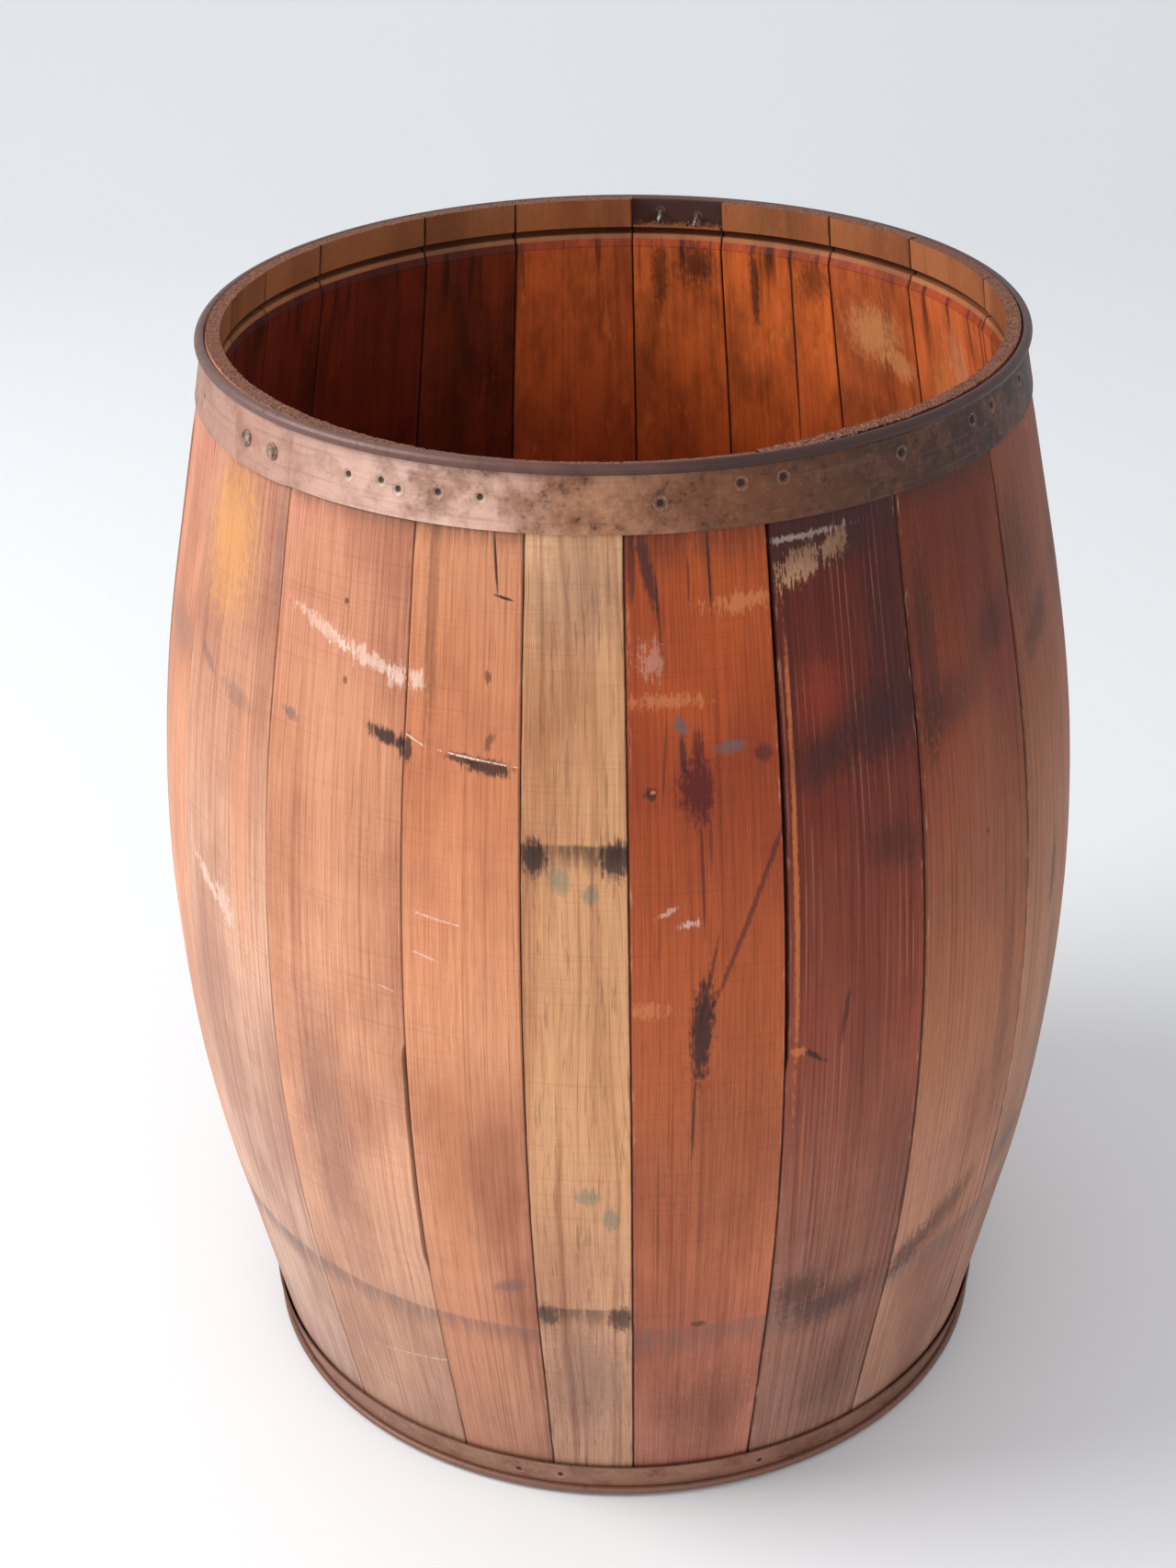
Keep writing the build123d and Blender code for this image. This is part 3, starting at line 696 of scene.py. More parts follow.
# %% Stains, scratches and bands
blue_band = (166, 16, 16, BLUE_GREY, 0.45)
all_marks = {
    17: [(-70, 300, 26, 60, 0, BLUE_GREY, 0.3), (-72, 560, 30, 12, -6, BLUE_GREY, 0.35)],
    18: [(-57, 640, 26, 36, 0, OLD_YELLOW, 0.55), (-58.5, 420, 14, 3, -28, CHALK, 0.55),
         (-54, 413, 9, 6, -50, CHALK, 0.5), (-60, 563, 10, 3, -26, BLUE_GREY, 0.5),
         (-52, 553, 14, 5, -10, BLUE_GREY, 0.4), (-46, 650, 3, 26, 2, BLUE_GREY, 0.35),
         (-50, 470, 7, 60, 0, TAN, 0.35)],
    19: [(-27.4, 564.5, 10.5, 3.6, -16, RUST_BLACK, 0.9), (-25.2, 561, 3.2, 5, 0, RUST_BLACK, 0.85),
         (-37, 615, 17, 2.8, -18, CHALK, 0.42), (-30, 605, 20, 3.4, -14, CHALK, 0.5), (-26.5, 600, 5, 5, 0, CHALK, 0.4),
         (-41.5, 560, 5, 3, -20, BLUE_GREY, 0.6), (-26, 110, 44, 0.7, 12, CHALK, 0.4),
         (-38, 300, 16, 80, 0, BLUE_GREY, 0.25), (-33.5, 590, 1.6, 1.8, 0, RUST_BLACK, 0.6),
         (-34, 634, 1.3, 1.6, 0, RUST_BLACK, 0.7), (-27.5, 410, 6, 0.6, -10, CHALK, 0.4)],
    20: [(-24.5, 560, 2, 6, 0, RUST_BLACK, 0.8), (-18.0, 560, 8, 2.4, -6, RUST_BLACK, 0.75),
         (-14.6, 557, 12, 3.8, -3, RUST_BLACK, 0.85), (-16, 560.6, 22, 0.5, -5, CHALK, 0.8),
         (-23.6, 566, 8, 0.5, -22, CHALK, 0.6), (-14.3, 668, 0.8, 18, 6, RUST_BLACK, 0.9),
         (-13.2, 650.5, 6, 0.8, -12, RUST_BLACK, 0.9), (-23.6, 600, 4, 5, -20, CHALK, 0.6),
         (-22.2, 650, 3, 60, 0, SMOKE, 0.35), (-15, 607, 1.6, 3, 10, RUST_BLACK, 0.6),
         (-14.5, 572, 2, 5, -24, RUST_BLACK, 0.5), (-20.5, 462, 12, 0.6, -8, CHALK, 0.5),
         (-22, 437, 8, 0.6, -14, CHALK, 0.5), (-14, 200, 9, 4, 20, BLUE_GREY, 0.5), (-20, 300, 6, 90, 0, TAN, 0.3)],
    21: [(-6.5, 494, 5, 7, 20, GLUE, 0.5), (-3.2, 486, 4, 5, -20, GLUE, 0.5), (-4, 280, 6, 5, 10, GLUE, 0.5),
         (-1.5, 262, 4, 7, 0, GLUE, 0.5), (-9.6, 507, 6, 9, 0, RUST_BLACK, 0.85), (-0.4, 507, 8, 9, 0, RUST_BLACK, 0.85),
         (-9.6, 177, 5, 8, 0, RUST_BLACK, 0.7), (-0.5, 176, 6, 9, 0, RUST_BLACK, 0.7),
         (-8.5, 330, 3, 20, 0, PALE_CUT, 0.5), (-5, 120, 20, 40, 0, BLUE_GREY, 0.35),
         (-5, 660, 24, 30, 0, BLUE_GREY, 0.3)],
    1: [(8.8, 545, 8.5, 15, 0, WINE, 0.9), (7.3, 566, 1.6, 10, 0, RUST_BLACK, 0.7), (9.0, 568, 2.4, 8, 0, WINE, 0.7),
        (9.2, 496, 1.0, 34, 1, WINE, 0.7), (10.2, 516, 0.9, 16, 0, WINE, 0.5), (9.0, 398, 5.5, 27, -4, RUST_BLACK, 0.85),
        (8.0, 340, 0.9, 32, -2, RUST_BLACK, 0.7), (14.4, 467, 1.3, 62, -22, SMOKE, 0.6), (9.6, 425, 1.2, 30, -12, SMOKE, 0.6),
        (3.6, 668, 3, 20, 14, RUST_BLACK, 0.75), (5.0, 640, 1.0, 26, 4, SMOKE, 0.6), (1.8, 672, 2, 16, 0, RUST_BLACK, 0.6),
        (11.1, 665, 0.9, 22, 1, RUST_BLACK, 0.9), (8.6, 660, 0.7, 12, 0, SMOKE, 0.6),
        (15.2, 646, 15, 4, 3, TAN, 0.6), (5.5, 596, 17, 3.2, 0, TAN, 0.5), (4, 618, 6, 8, 0, CHALK, 0.2),
        (3, 413, 9, 4, 0, TAN, 0.6), (7.5, 466, 4, 1.6, 10, CHALK, 0.5), (5.2, 474, 4, 1.4, 30, CHALK, 0.4),
        (3.6, 545, 3, 3, 0, RUST_BLACK, 0.8), (3.8, 546, 1.4, 1.2, 0, TAN, 0.8), (12.7, 568, 8, 3, 0, BLUE_GREY, 0.7),
        (16.5, 562, 5, 4, 0, SMOKE, 0.6), (7.2, 582, 3, 4, 20, BLUE_GREY, 0.8), (5.2, 560, 0.9, 22, -4, SMOKE, 0.5),
        (9.3, 168, 4, 2, 0, RUST_BLACK, 0.6), (13, 300, 30, 60, 0, SMOKE, 0.18), (4, 250, 0.8, 60, 0, SMOKE, 0.4),
        (12, 86, 26, 26, 0, SMOKE, 0.3)],
    2: [(22.5, 660, 13, 6, 18, PALE_CUT, 0.65), (27, 668, 9, 5, 24, PALE_CUT, 0.6), (23, 676, 22, 1.3, 2, CHALK, 0.5),
        (21.3, 370, 11, 1.6, -38, RUST_BLACK, 0.8), (20, 372, 4, 3, 0, FRESH, 0.8), (19.7, 480, 1.3, 112, 0, FRESH, 0.75),
        (32, 566, 30, 18, 8, SMOKE, 0.75), (24, 552, 20, 12, 10, SMOKE, 0.6), (34, 610, 14, 40, 0, SMOKE, 0.5),
        (33, 490, 16, 12, -20, SMOKE, 0.5), (27, 672, 40, 12, 3, SMOKE, 0.5), (24, 590, 12, 16, 0, (150, 52, 30), 0.5),
        (22.5, 178, 16, 14, 26, RUST_BLACK, 0.6), (28, 160, 26, 12, 20, SMOKE, 0.55), (21, 300, 1.0, 40, 0, FRESH, 0.4),
        (26, 390, 1.4, 14, -8, RUST_BLACK, 0.6), (30, 80, 30, 30, 0, SMOKE, 0.3)],
    3: [(39.5, 172, 16, 10, 34, RUST_BLACK, 0.6), (46, 190, 26, 10, 30, SMOKE, 0.5), (39.5, 590, 8, 50, 0, SMOKE, 0.5),
        (43, 560, 24, 14, 14, SMOKE, 0.6), (52, 590, 20, 12, 30, SMOKE, 0.55), (47, 500, 20, 70, 0, (150, 90, 62), 0.3),
        (53, 330, 6, 60, 0, SMOKE, 0.25), (48, 470, 1.4, 1.6, 0, RUST_BLACK, 0.6)],
    4: [(60, 620, 24, 30, 0, SMOKE, 0.4), (64, 570, 22, 10, 26, SMOKE, 0.55), (66, 400, 4, 20, -8, SMOKE, 0.5),
        (62, 200, 24, 10, 10, BLUE_GREY, 0.5), (68, 300, 10, 90, 0, BLUE_GREY, 0.3)],
    5: [(78, 590, 20, 30, -10, SMOKE, 0.45), (76, 380, 1.4, 30, -10, RUST_BLACK, 0.6)],
    7: [(112, 560, 40, 14, 4, SMOKE, 0.6), (118, 330, 10, 50, 0, SMOKE, 0.4), (108, 640, 20, 4, 12, PALE_CUT, 0.5)],
    9: [(149.5, 620, 0.8, 80, 1, RUST_BLACK, 0.6), (150, 430, 14, 34, 0, SMOKE, 0.5), (158, 540, 24, 10, -6, CHALK, 0.4)],
    11: [(186, 556, 40, 9, -3, RUST_BLACK, 0.5), (182, 360, 1.1, 60, 3, SMOKE, 0.5), (190, 240, 12, 30, 0, WINE, 0.4)],
    13: [(-138, 560, 40, 12, 4, SMOKE, 0.5), (-142, 420, 26, 3, 16, CHALK, 0.5), (-132, 300, 8, 40, 0, SMOKE, 0.4)],
    15: [(-103, 610, 20, 3, -10, CHALK, 0.55), (-106, 380, 6, 30, 0, BLUE_GREY, 0.5)],
}
# The bands at 690 and 692 mm darken the wood just below the top hoop: partly rust run, partly painted shade under the
# hoop.
all_bands = {
    21: [(515, 5, 12, RUST_BLACK, 0.75), (184, 4, 14, RUST_BLACK, 0.6)],
    1: [blue_band, (690, 14, 16, (66, 26, 20), 0.6)], 2: [blue_band, (690, 20, 20, (50, 22, 20), 0.6)],
    3: [blue_band, (690, 12, 10, (50, 26, 22), 0.5)], 4: [blue_band], 5: [blue_band], 7: [blue_band, (552, 12, 20, SMOKE, 0.4)],
    8: [blue_band], 10: [(548, 10, 14, SMOKE, 0.4)], 12: [(170, 10, 14, SMOKE, 0.4)], 14: [blue_band], 16: [blue_band],
    17: [blue_band], 20: [(162, 8, 12, BLUE_GREY, 0.5), (690, 8, 8, (70, 40, 34), 0.5)],
    19: [(160, 8, 14, BLUE_GREY, 0.55), (692, 10, 8, (90, 60, 52), 0.5)], 18: [(158, 10, 14, BLUE_GREY, 0.55)],
}

inner_marks = {
    7: [(113, 640, 10, 26, -8, PALE_CUT, 0.4), (119, 600, 12, 40, 6, OLD_YELLOW, 0.35)],
    8: [(134, 648, 20, 16, -6, (232, 160, 100), 0.7), (129, 630, 14, 8, 10, (232, 160, 100), 0.5)],
    9: [(149.5, 620, 0.9, 80, 1, RUST_BLACK, 0.9), (156, 668, 3, 26, 0, RUST_BLACK, 0.7), (145, 680, 12, 14, 0, SMOKE, 0.6)],
    10: [(166, 680, 12, 14, 0, RUST_BLACK, 0.75), (172, 672, 6, 18, 0, RUST_BLACK, 0.6)],
    11: [(-178, 622, 9, 26, -8, RUST_BLACK, 0.8), (-176, 660, 5, 40, 0, SMOKE, 0.7), (-170, 600, 10, 60, 0, SMOKE, 0.5),
         (-174, 550, 40, 44, 0, SMOKE, 0.6)],
    12: [(-156, 640, 12, 50, 0, SMOKE, 0.4)],
}

# %% [markdown]
# Now the tree runs once for each stave, on a blank of its width. What differs is looked up by
# number: wear at the top end, an open joint, a coarse board.

# %% Bend the staves
usual = {"Ridge height": 0.1 * mm, "Ridge pitch": 6 * mm}
tight = {number: {"Arris": 0.5 * mm} for number in (15, 16, 17, 18, 19)}
special = {
    1: {"Wear": 3.5 * mm, "Raggedness": 0.3 * mm},
    2: {"Wear": 1.0 * mm, "Wear tilt": -2.4 * mm, "Ridge height": 0.42 * mm, "Ridge pitch": 5 * mm, "Raggedness": 1.0 * mm, "Left gap": 1.6 * mm,
        "Gap foot": 0.368, "Gap top": 0.70},
    3: {"Raggedness": 1.0 * mm, "Ridge height": 0.22 * mm, "Ridge pitch": 2.8 * mm},
    10: {"Wear": 18.2 * mm, "Raggedness": 2.2 * mm},
    18: {"Wear": 0.8 * mm, "Wear tilt": 1.2 * mm},
    19: {"Wear": 2.5 * mm, "Wear tilt": 1.8 * mm, "Right gap": 2.2 * mm, "Gap foot": 0.205, "Gap top": 0.371},
    20: {"Wear": 3.5 * mm, "Raggedness": 0.3 * mm, "Proud": 0.5 * mm},
    21: {"Wear": 3.5 * mm, "Raggedness": 0.3 * mm, "Ridge height": 0.2 * mm, "Ridge pitch": 9 * mm},
}
wood_look = {
    16: {"joint_grime_and_shade_strength": 0.35}, 17: {"joint_grime_and_shade_strength": 0.35}, 18: {"joint_grime_and_shade_strength": 0.3}, 20: {"joint_grime_and_shade_strength": 0.45},
    2: {"ridge_pale": 0.42, "ring_dark": 0.6, "ring_pitch": 1.8 * mm, "joint_grime_and_shade_strength": 0.9},
    3: {"ridge_pale": 0.25, "ring_dark": 0.5, "ring_pitch": 1.4 * mm},
    19: {"ridge_pale": 0.2, "ring_pitch": 1.6 * mm, "joint_grime_and_shade_strength": 0.35},
    21: {"ring_pitch": 4 * mm, "waviness": 1.3, "ring_dark": 0.5, "chalk": 0.3, "fleck_dark": 0.32, "joint_grime_and_shade_strength": 0.9},
    1: {"ring_pitch": 1.6 * mm, "waviness": 0.12, "ring_dark": 0.4, "chalk": 0.04},
    9: {"ridge_pale": 0.3, "ring_pitch": 1.6 * mm},
    14: {"ridge_pale": 0.2, "waviness": 0.5},
}
# Inside tones by stave carry painted light and shade: bright orange for the lit right and back inside wall (staves 1 to
# 11), and dark brown for the shaded left inside wall (stave 12, and staves 13 to 21 through the default below).
lit_and_shaded_inside_tones = {number: (224, 112, 58) if 3 <= number <= 8 else (244, 122, 58) for number in range(1, 11)}
lit_and_shaded_inside_tones |= {11: (226, 110, 54), 12: (134, 54, 26)}
start = first_joint
stave_pieces = []
for number, stave_width in enumerate(stave_widths, 1):
    signed_start = start if start < 180 else start - 360
    values = {"Start angle": signed_start, "Width angle": float(stave_width), "Seed": number * 2.3,
              "Proud": 0.35 * mm * sin(number * 2.1)} | usual | tight.get(number, {}) | special.get(number, {})
    # The default inside tone (116, 40, 18) is painted shade for the left inside wall.
    values["Material"] = stave_material(number, all_tones[number], all_marks.get(number, ()),
                                        all_bands.get(number, ()), inner_marks.get(number, ()), lit_and_shaded_inside_tone=lit_and_shaded_inside_tones.get(number, (116, 40, 18)),
                                        **wood_look.get(number, {}))
    step = 0.95 * mm if number in (2, 3) else 1.4 * mm
    mesh = shaped(stave_tree, stave_blank(stave_width, step), values)
    name = f"stave_{number:02d}"
    slot = "stave_pale" if number == 21 else "stave_softwood"
    stave_pieces.append(place_piece(f"{name}_shaped", mesh, slot, name))
    start += stave_width
print("staves", len(stave_pieces), "faces", sum(len(piece.data.polygons) for piece in stave_pieces))

# %% [markdown]
# ## The head
# Five boards with dowels between them close the lower end. Their CAD shape is right, so they keep
# it and take a wood of their own. The boards run along X, so the grain group is fed their
# coordinates in that order.

# %% The head's wood
def head_wood(name, tone, seed):
    """Plain worn board: the same fir grain, with a wine-dark stain that fades towards the rim."""
    material = bpy.data.materials.new(name)
    material.use_nodes = True
    tree = material.node_tree
    x, y, z = Field(tree, node(tree, "ShaderNodeTexCoord").outputs["Object"]).parts()
    grain = {"Place": vector(tree, y, z, x), "Seed": seed, "Ring pitch": 4 * mm, "Waviness": 0.5}
    rings = use(tree, grain_group, "Rings", grain)
    fibres = use(tree, grain_group, "Fibres", grain)
    cloud = use(tree, grain_group, "Cloud", grain)
    colour = ramp(tree, cloud, [(0.3, linear(*(value * 0.75 for value in tone))), (0.7, linear(*tone))])
    colour = blend(tree, rings.smooth(0.42, 0.7) * 0.5, colour, linear(120, 70, 50), "MULTIPLY")
    colour = blend(tree, fibres.smooth(0.5, 0.75) * 0.4, colour, linear(120, 80, 65), "MULTIPLY")
    from_centre = (x * x + y * y).root() + (cloud - 0.5) * 0.12
    colour = blend(tree, from_centre.smooth(0.17, 0.07) * 0.5, colour, linear(74, 24, 20))
    shader = tree.nodes["Principled BSDF"]
    feed(tree, shader.inputs["Base Color"], colour)
    feed(tree, shader.inputs["Roughness"], cloud * 0.2 + fibres * 0.15 + 0.45)
    bump = node(tree, "ShaderNodeBump", {"Height": rings * 0.4 + fibres * 0.6, "Distance": 0.5 * mm,
                                         "Strength": 0.5})
    feed(tree, shader.inputs["Normal"], Field(tree, bump.outputs[0]))
    return material


def paint(name, material):
    """Gives a carried-over CAD node its material."""
    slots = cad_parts[name].data.materials
    slots.clear()
    slots.append(material)


for number in range(1, 6):
    paint(f"head_board_{number}", head_wood(f"head_board_{number}_wood", (150, 92, 62), number * 5.3))
paint("head_dowels", head_wood("dowel_wood_pale", (190, 150, 104), 31.0))
print("head boards painted")

# %% [markdown]
# ## The hoops
# A hoop is a strip of steel with one edge rolled into a bead, riveted into a ring. Here it starts
# flat, as it did in the workshop: a long closed bar with the section of the strip. The tree then
# dishes the nail holes, presses the ribs, dents the steel, and bends the bar round the barrel.

# %% Hoop sizes
strip_thickness, bead_radius, clearance = 1.5 * mm, 3 * mm, 0.1 * mm
lap_length, rivet_spacing = 58 * mm, 26.5 * mm
flat_radius = 252 * mm
top_hoop = {"at_top": True, "height": 38 * mm, "setback": 0.0, "slack": 0.0, "lap": -51.5,
            "holes": ((-72, 22), (-35, 21), (-30, 20), (-27.5, 23), (-22, 21), (-16.5, 21), (5.5, 22), (15.5, 15),
                      (21, 15), (38.5, 17), (53, 16), (58.5, 15), (70, 16)),
            "nails": ((166, 13), (172, 11), (205, 16), (249, 16)), "ribs": ()}
bottom_hoop = {"at_top": False, "height": 26 * mm, "setback": 1 * mm, "slack": 1.6 * mm, "lap": 186.0,
               "holes": ((-16.5, 14), (-10, 15), (20.5, 14)),
               "nails": ((113, 10), (152, 10), (231, 10), (270, 10)),
               "ribs": (-55, -26, 13, 55, 94, 133, 172, 211, 250)}


def wall_radius(depth):
    """Radius of the staves' outside near an end."""
    return end_radius + depth * tan(lean)


def strip_line(hoop):
    """Radius of a strip's inner face at its bead, and how fast it widens."""
    near = wall_radius(bead_radius + hoop["setback"]) + clearance
    far = wall_radius(hoop["height"] + hoop["setback"]) + clearance + hoop["slack"]
    return near, (far - near) / (hoop["height"] - bead_radius)

# %% [markdown]
# The points are crowded round each hole, because a punched dish is only six millimetres wide, and
# they are spread out where the strip is plain.

# %% Hoop blanks
def strip_section(strip_height):
    """(rise from the beaded edge, distance out, skin) round a strip. Skin is 1 on its outer face."""
    bead_steps = 20
    section = []
    for step in range(bead_steps + 1):
        turned = pi + 5 / 3 * pi * step / bead_steps
        section.append((bead_radius + bead_radius * sin(turned), bead_radius + bead_radius * cos(turned), 0.0))
    foot = section[-1][0]
    count = round((strip_height - foot) / (0.85 * mm))
    section += [(foot + (strip_height - foot) * i / count, strip_thickness, 1.0) for i in range(1, count)]
    section += [(strip_height - 0.1 * mm, strip_thickness, 0.6), (strip_height, strip_thickness * 0.75, 0.0),
                (strip_height, strip_thickness * 0.25, 0.0), (strip_height - 0.1 * mm, 0.0, 0.0)]
    inner_steps = 6
    section += [(strip_height + (bead_radius - strip_height) * i / inner_steps, 0.0, 0.0)
                for i in range(1, inner_steps)]
    return section


def crowded(start, end, pitch, centres, reach, fine_pitch):
    """Numbers from start to end, a pitch apart, and closer together near the centres."""
    values = [start]
    while values[-1] < end - pitch * 0.5:
        near = any(abs(values[-1] - centre) < reach for centre in centres)
        values.append(values[-1] + (fine_pitch if near else pitch))
    return [value * (end - start) / (values[-1] - start) + start * (1 - (end - start) / (values[-1] - start))
            for value in values]


def ring_blank(hoop):
    """A flat closed bar once round the barrel, with its own length along X and its rise along Z."""
    section = strip_section(hoop["height"])
    half_turn = pi * flat_radius
    centres = [radians(angle if angle < 180 else angle - 360) * flat_radius for angle, _ in hoop["holes"] + hoop["nails"]]
    columns = crowded(-half_turn, half_turn, 2.4 * mm, centres, 5.5 * mm, 0.6 * mm)[:-1]
    count = len(section)
    points = [(x, out, rise) for x in columns for rise, out, _ in section]
    faces = []
    for i in range(len(columns)):
        this, after = i * count, (i + 1) % len(columns) * count
        for j in range(count):
            k = (j + 1) % count
            faces.append((this + j, after + j, after + k, this + k))
    mesh = bpy.data.meshes.new("ring_blank")
    mesh.from_pydata(points, [], faces)
    skin = [value for _ in columns for _, _, value in section]
    mesh.attributes.new("skin", "FLOAT", "POINT").data.foreach_set("value", skin)
    return mesh


def marks_object(name, points, edges=()):
    """Points or lines on the flat strip, for the tree to measure distances from."""
    mesh = bpy.data.meshes.new(name)
    mesh.from_pydata(points, edges, [])
    made = bpy.data.objects.new(name, mesh)
    bpy.context.collection.objects.link(made)
    made.hide_render = True
    return made

# %% The hoop tree
hoop_inputs = [("Geometry", GEOMETRY, None), ("Material", "NodeSocketMaterial", None),
               ("Holes", "NodeSocketObject", None), ("Ribs", "NodeSocketObject", None),
               ("Near radius", FLOAT, 0.25), ("Widening", FLOAT, 0.2), ("End plane", FLOAT, 0.0),
               ("Upward", FLOAT, 1.0), ("Dent depth", FLOAT, 0.5 * mm), ("Lift", FLOAT, 0.0), ("Seed", FLOAT, 0.0)]
hoop_tree, given = new_tree("bend a hoop", "GeometryNodeTree", hoop_inputs, [("Geometry", GEOMETRY)])
here = Field(hoop_tree, node(hoop_tree, "GeometryNodeInputPosition").outputs[0])
skin = Field(hoop_tree, node(hoop_tree, "GeometryNodeInputNamedAttribute", {"Name": "skin"},
                             data_type="FLOAT").outputs[0])
length, out, rise = here.parts()
flat_place = vector(hoop_tree, length, 0.0, rise)


def distance_to(field, element):
    """Distance from the flat strip's point to the nearest mark of an object."""
    info = node(hoop_tree, "GeometryNodeObjectInfo", {"Object": field})
    near = node(hoop_tree, "GeometryNodeProximity", {0: Field(hoop_tree, info.outputs["Geometry"]),
                                                     "Source Position": flat_place}, target_element=element)
    return Field(hoop_tree, near.outputs["Distance"])


hole_distance = distance_to(given["Holes"], "POINTS")
rib_distance = distance_to(given["Ribs"], "EDGES")
dish = hole_distance.smooth(3.4 * mm, 1.3 * mm) * (0.75 * mm) + hole_distance.smooth(1.8 * mm, 1.2 * mm) * (0.5 * mm)
raised = hole_distance.smooth(5.2 * mm, 3.6 * mm) * hole_distance.smooth(2.9 * mm, 3.6 * mm) * (0.22 * mm)
rib = rib_distance.smooth(3.0 * mm, 0.8 * mm) * (0.9 * mm)
turned = length / flat_radius
round_place = vector(hoop_tree, turned.math("SINE") * 0.25, turned.math("COSINE") * 0.25, rise)
dents = noise(hoop_tree, round_place, 55.0, given["Seed"], 2.0)
pitting = noise(hoop_tree, round_place, 420.0, given["Seed"] + 2.0, 3.0)
wave = noise(hoop_tree, round_place, 14.0, given["Seed"] + 4.0, 1.0) - 0.5
pressed = (dents - 0.5) * given["Dent depth"] + pitting.smooth(0.5, 0.3) * (-0.12 * mm) + raised - dish + rib
radius = rise * given["Widening"] + (given["Near radius"] - bead_radius * given["Widening"]) + out
radius = radius + pressed * skin + given["Lift"] + wave * (0.5 * mm)
height = given["End plane"] + rise * given["Upward"] + wave * (0.5 * mm) * (rise / (20 * mm)).low(1.0)
bent = vector(hoop_tree, radius * turned.math("SINE"), -(radius * turned.math("COSINE")), height)
geometry = store(hoop_tree, given["Geometry"], "hole", hole_distance)
geometry = store(hoop_tree, geometry, "place", here, "FLOAT_VECTOR")
geometry = store(hoop_tree, geometry, "round_place", round_place, "FLOAT_VECTOR")
geometry = set_position(hoop_tree, geometry, bent)
finish_tree(hoop_tree, geometry, given["Material"])
print("the hoop tree has", len(hoop_tree.nodes), "nodes")

# %% [markdown]
# ## Old steel
# The strip has lost its skin in places. Brown rust, black mottling and pinkish-grey bare patches lie over each other,
# and their shares change round the barrel. The bare patches are stronger on the lit left as a painted highlight, and
# the top hoop's pale tones at the left front are a painted highlight too. The bead stays smooth, because hands and
# shelves have rubbed it.

# %% Group: rust
rust_group, given = new_tree("rust", "ShaderNodeTree", [("Place", VECTOR, None), ("Seed", FLOAT, 0.0)],
                             [("Patches", FLOAT), ("Mottling", FLOAT), ("Grains", FLOAT)])
patches = noise(rust_group, given["Place"], 38.0, given["Seed"], 4.0, 0.62)
mottling = noise(rust_group, given["Place"], 210.0, given["Seed"] + 3.0, 6.0, 0.72)
grains = noise(rust_group, given["Place"], 900.0, given["Seed"] + 6.0, 3.0, 0.65)
close_group(rust_group, {"Patches": patches, "Mottling": mottling, "Grains": grains})

# %% The steel materials
def steel_material(name, tones, bead_tones, black, seed, metallic=0.2):
    """Rusted strip steel: tones go round the barrel from the back by the left and the front."""
    material = bpy.data.materials.new(name)
    material.use_nodes = True
    tree = material.node_tree
    place, round_at = attribute(tree, "place", "Vector"), attribute(tree, "round_place", "Vector")
    length, out, rise = place.parts()
    rust = {"Place": round_at, "Seed": seed}
    patches = use(tree, rust_group, "Patches", rust)
    mottling = use(tree, rust_group, "Mottling", rust)
    grains = use(tree, rust_group, "Grains", rust)
    turn_share = length / (2 * pi * flat_radius) + 0.5 + (patches - 0.5) * 0.12
    colour = ramp(tree, turn_share, [(spot, linear(*tone)) for spot, tone in tones])
    colour = blend(tree, patches.smooth(0.42, 0.68) * 0.55, colour, linear(118, 66, 40))
    colour = blend(tree, mottling.smooth(0.5, 0.64) * patches.smooth(0.4, 0.6)
                   * turn_share.smooth(0.38, 0.52) * black, colour, linear(34, 26, 24))
    # Bare patches are stronger on the lit left half of the strip: real bare steel, and a painted highlight.
    bare_and_highlight = mottling.smooth(0.46, 0.34) * (turn_share.smooth(0.56, 0.44) * 0.3 + 0.08)
    colour = blend(tree, bare_and_highlight, colour, linear(204, 166, 146))
    rubbed = noise(tree, vector(tree, length * 12, 0.0, rise * 420), 1.0, seed, 3.0, 0.6)
    colour = blend(tree, rubbed.smooth(0.5, 0.68) * 0.3, colour, linear(116, 84, 70))
    colour = blend(tree, grains.smooth(0.55, 0.75) * 0.4, colour, linear(60, 40, 32))
    skin = attribute(tree, "skin")
    bead = ramp(tree, turn_share, [(spot, linear(*tone)) for spot, tone in bead_tones])
    bead = blend(tree, mottling.smooth(0.54, 0.66) * 0.45, bead, linear(58, 36, 32))
    colour = blend(tree, skin.smooth(0.2, 0.8), bead, colour)
    hole = attribute(tree, "hole")
    # Painted shade: the middle of each hole dish is painted near black, as the dark of an open hole.
    colour = blend(tree, hole.smooth(2.2 * mm, 1.5 * mm) * 0.9, colour, linear(16, 10, 8))
    ring = hole.smooth(4.4 * mm, 3.6 * mm) * hole.smooth(2.6 * mm, 3.2 * mm)
    colour = blend(tree, ring * grains.smooth(0.4, 0.6) * 0.3, colour, linear(196, 168, 148))
    shader = tree.nodes["Principled BSDF"]
    shader.inputs["Metallic"].default_value = metallic
    feed(tree, shader.inputs["Base Color"], colour)
    feed(tree, shader.inputs["Roughness"], mottling * 0.35 + grains * 0.2 + skin * 0.14 + 0.2)
    bump = node(tree, "ShaderNodeBump", {"Height": mottling * 0.5 + grains * 0.5, "Distance": 0.35 * mm,
                                         "Strength": 0.6})
    feed(tree, shader.inputs["Normal"], Field(tree, bump.outputs[0]))
    return material


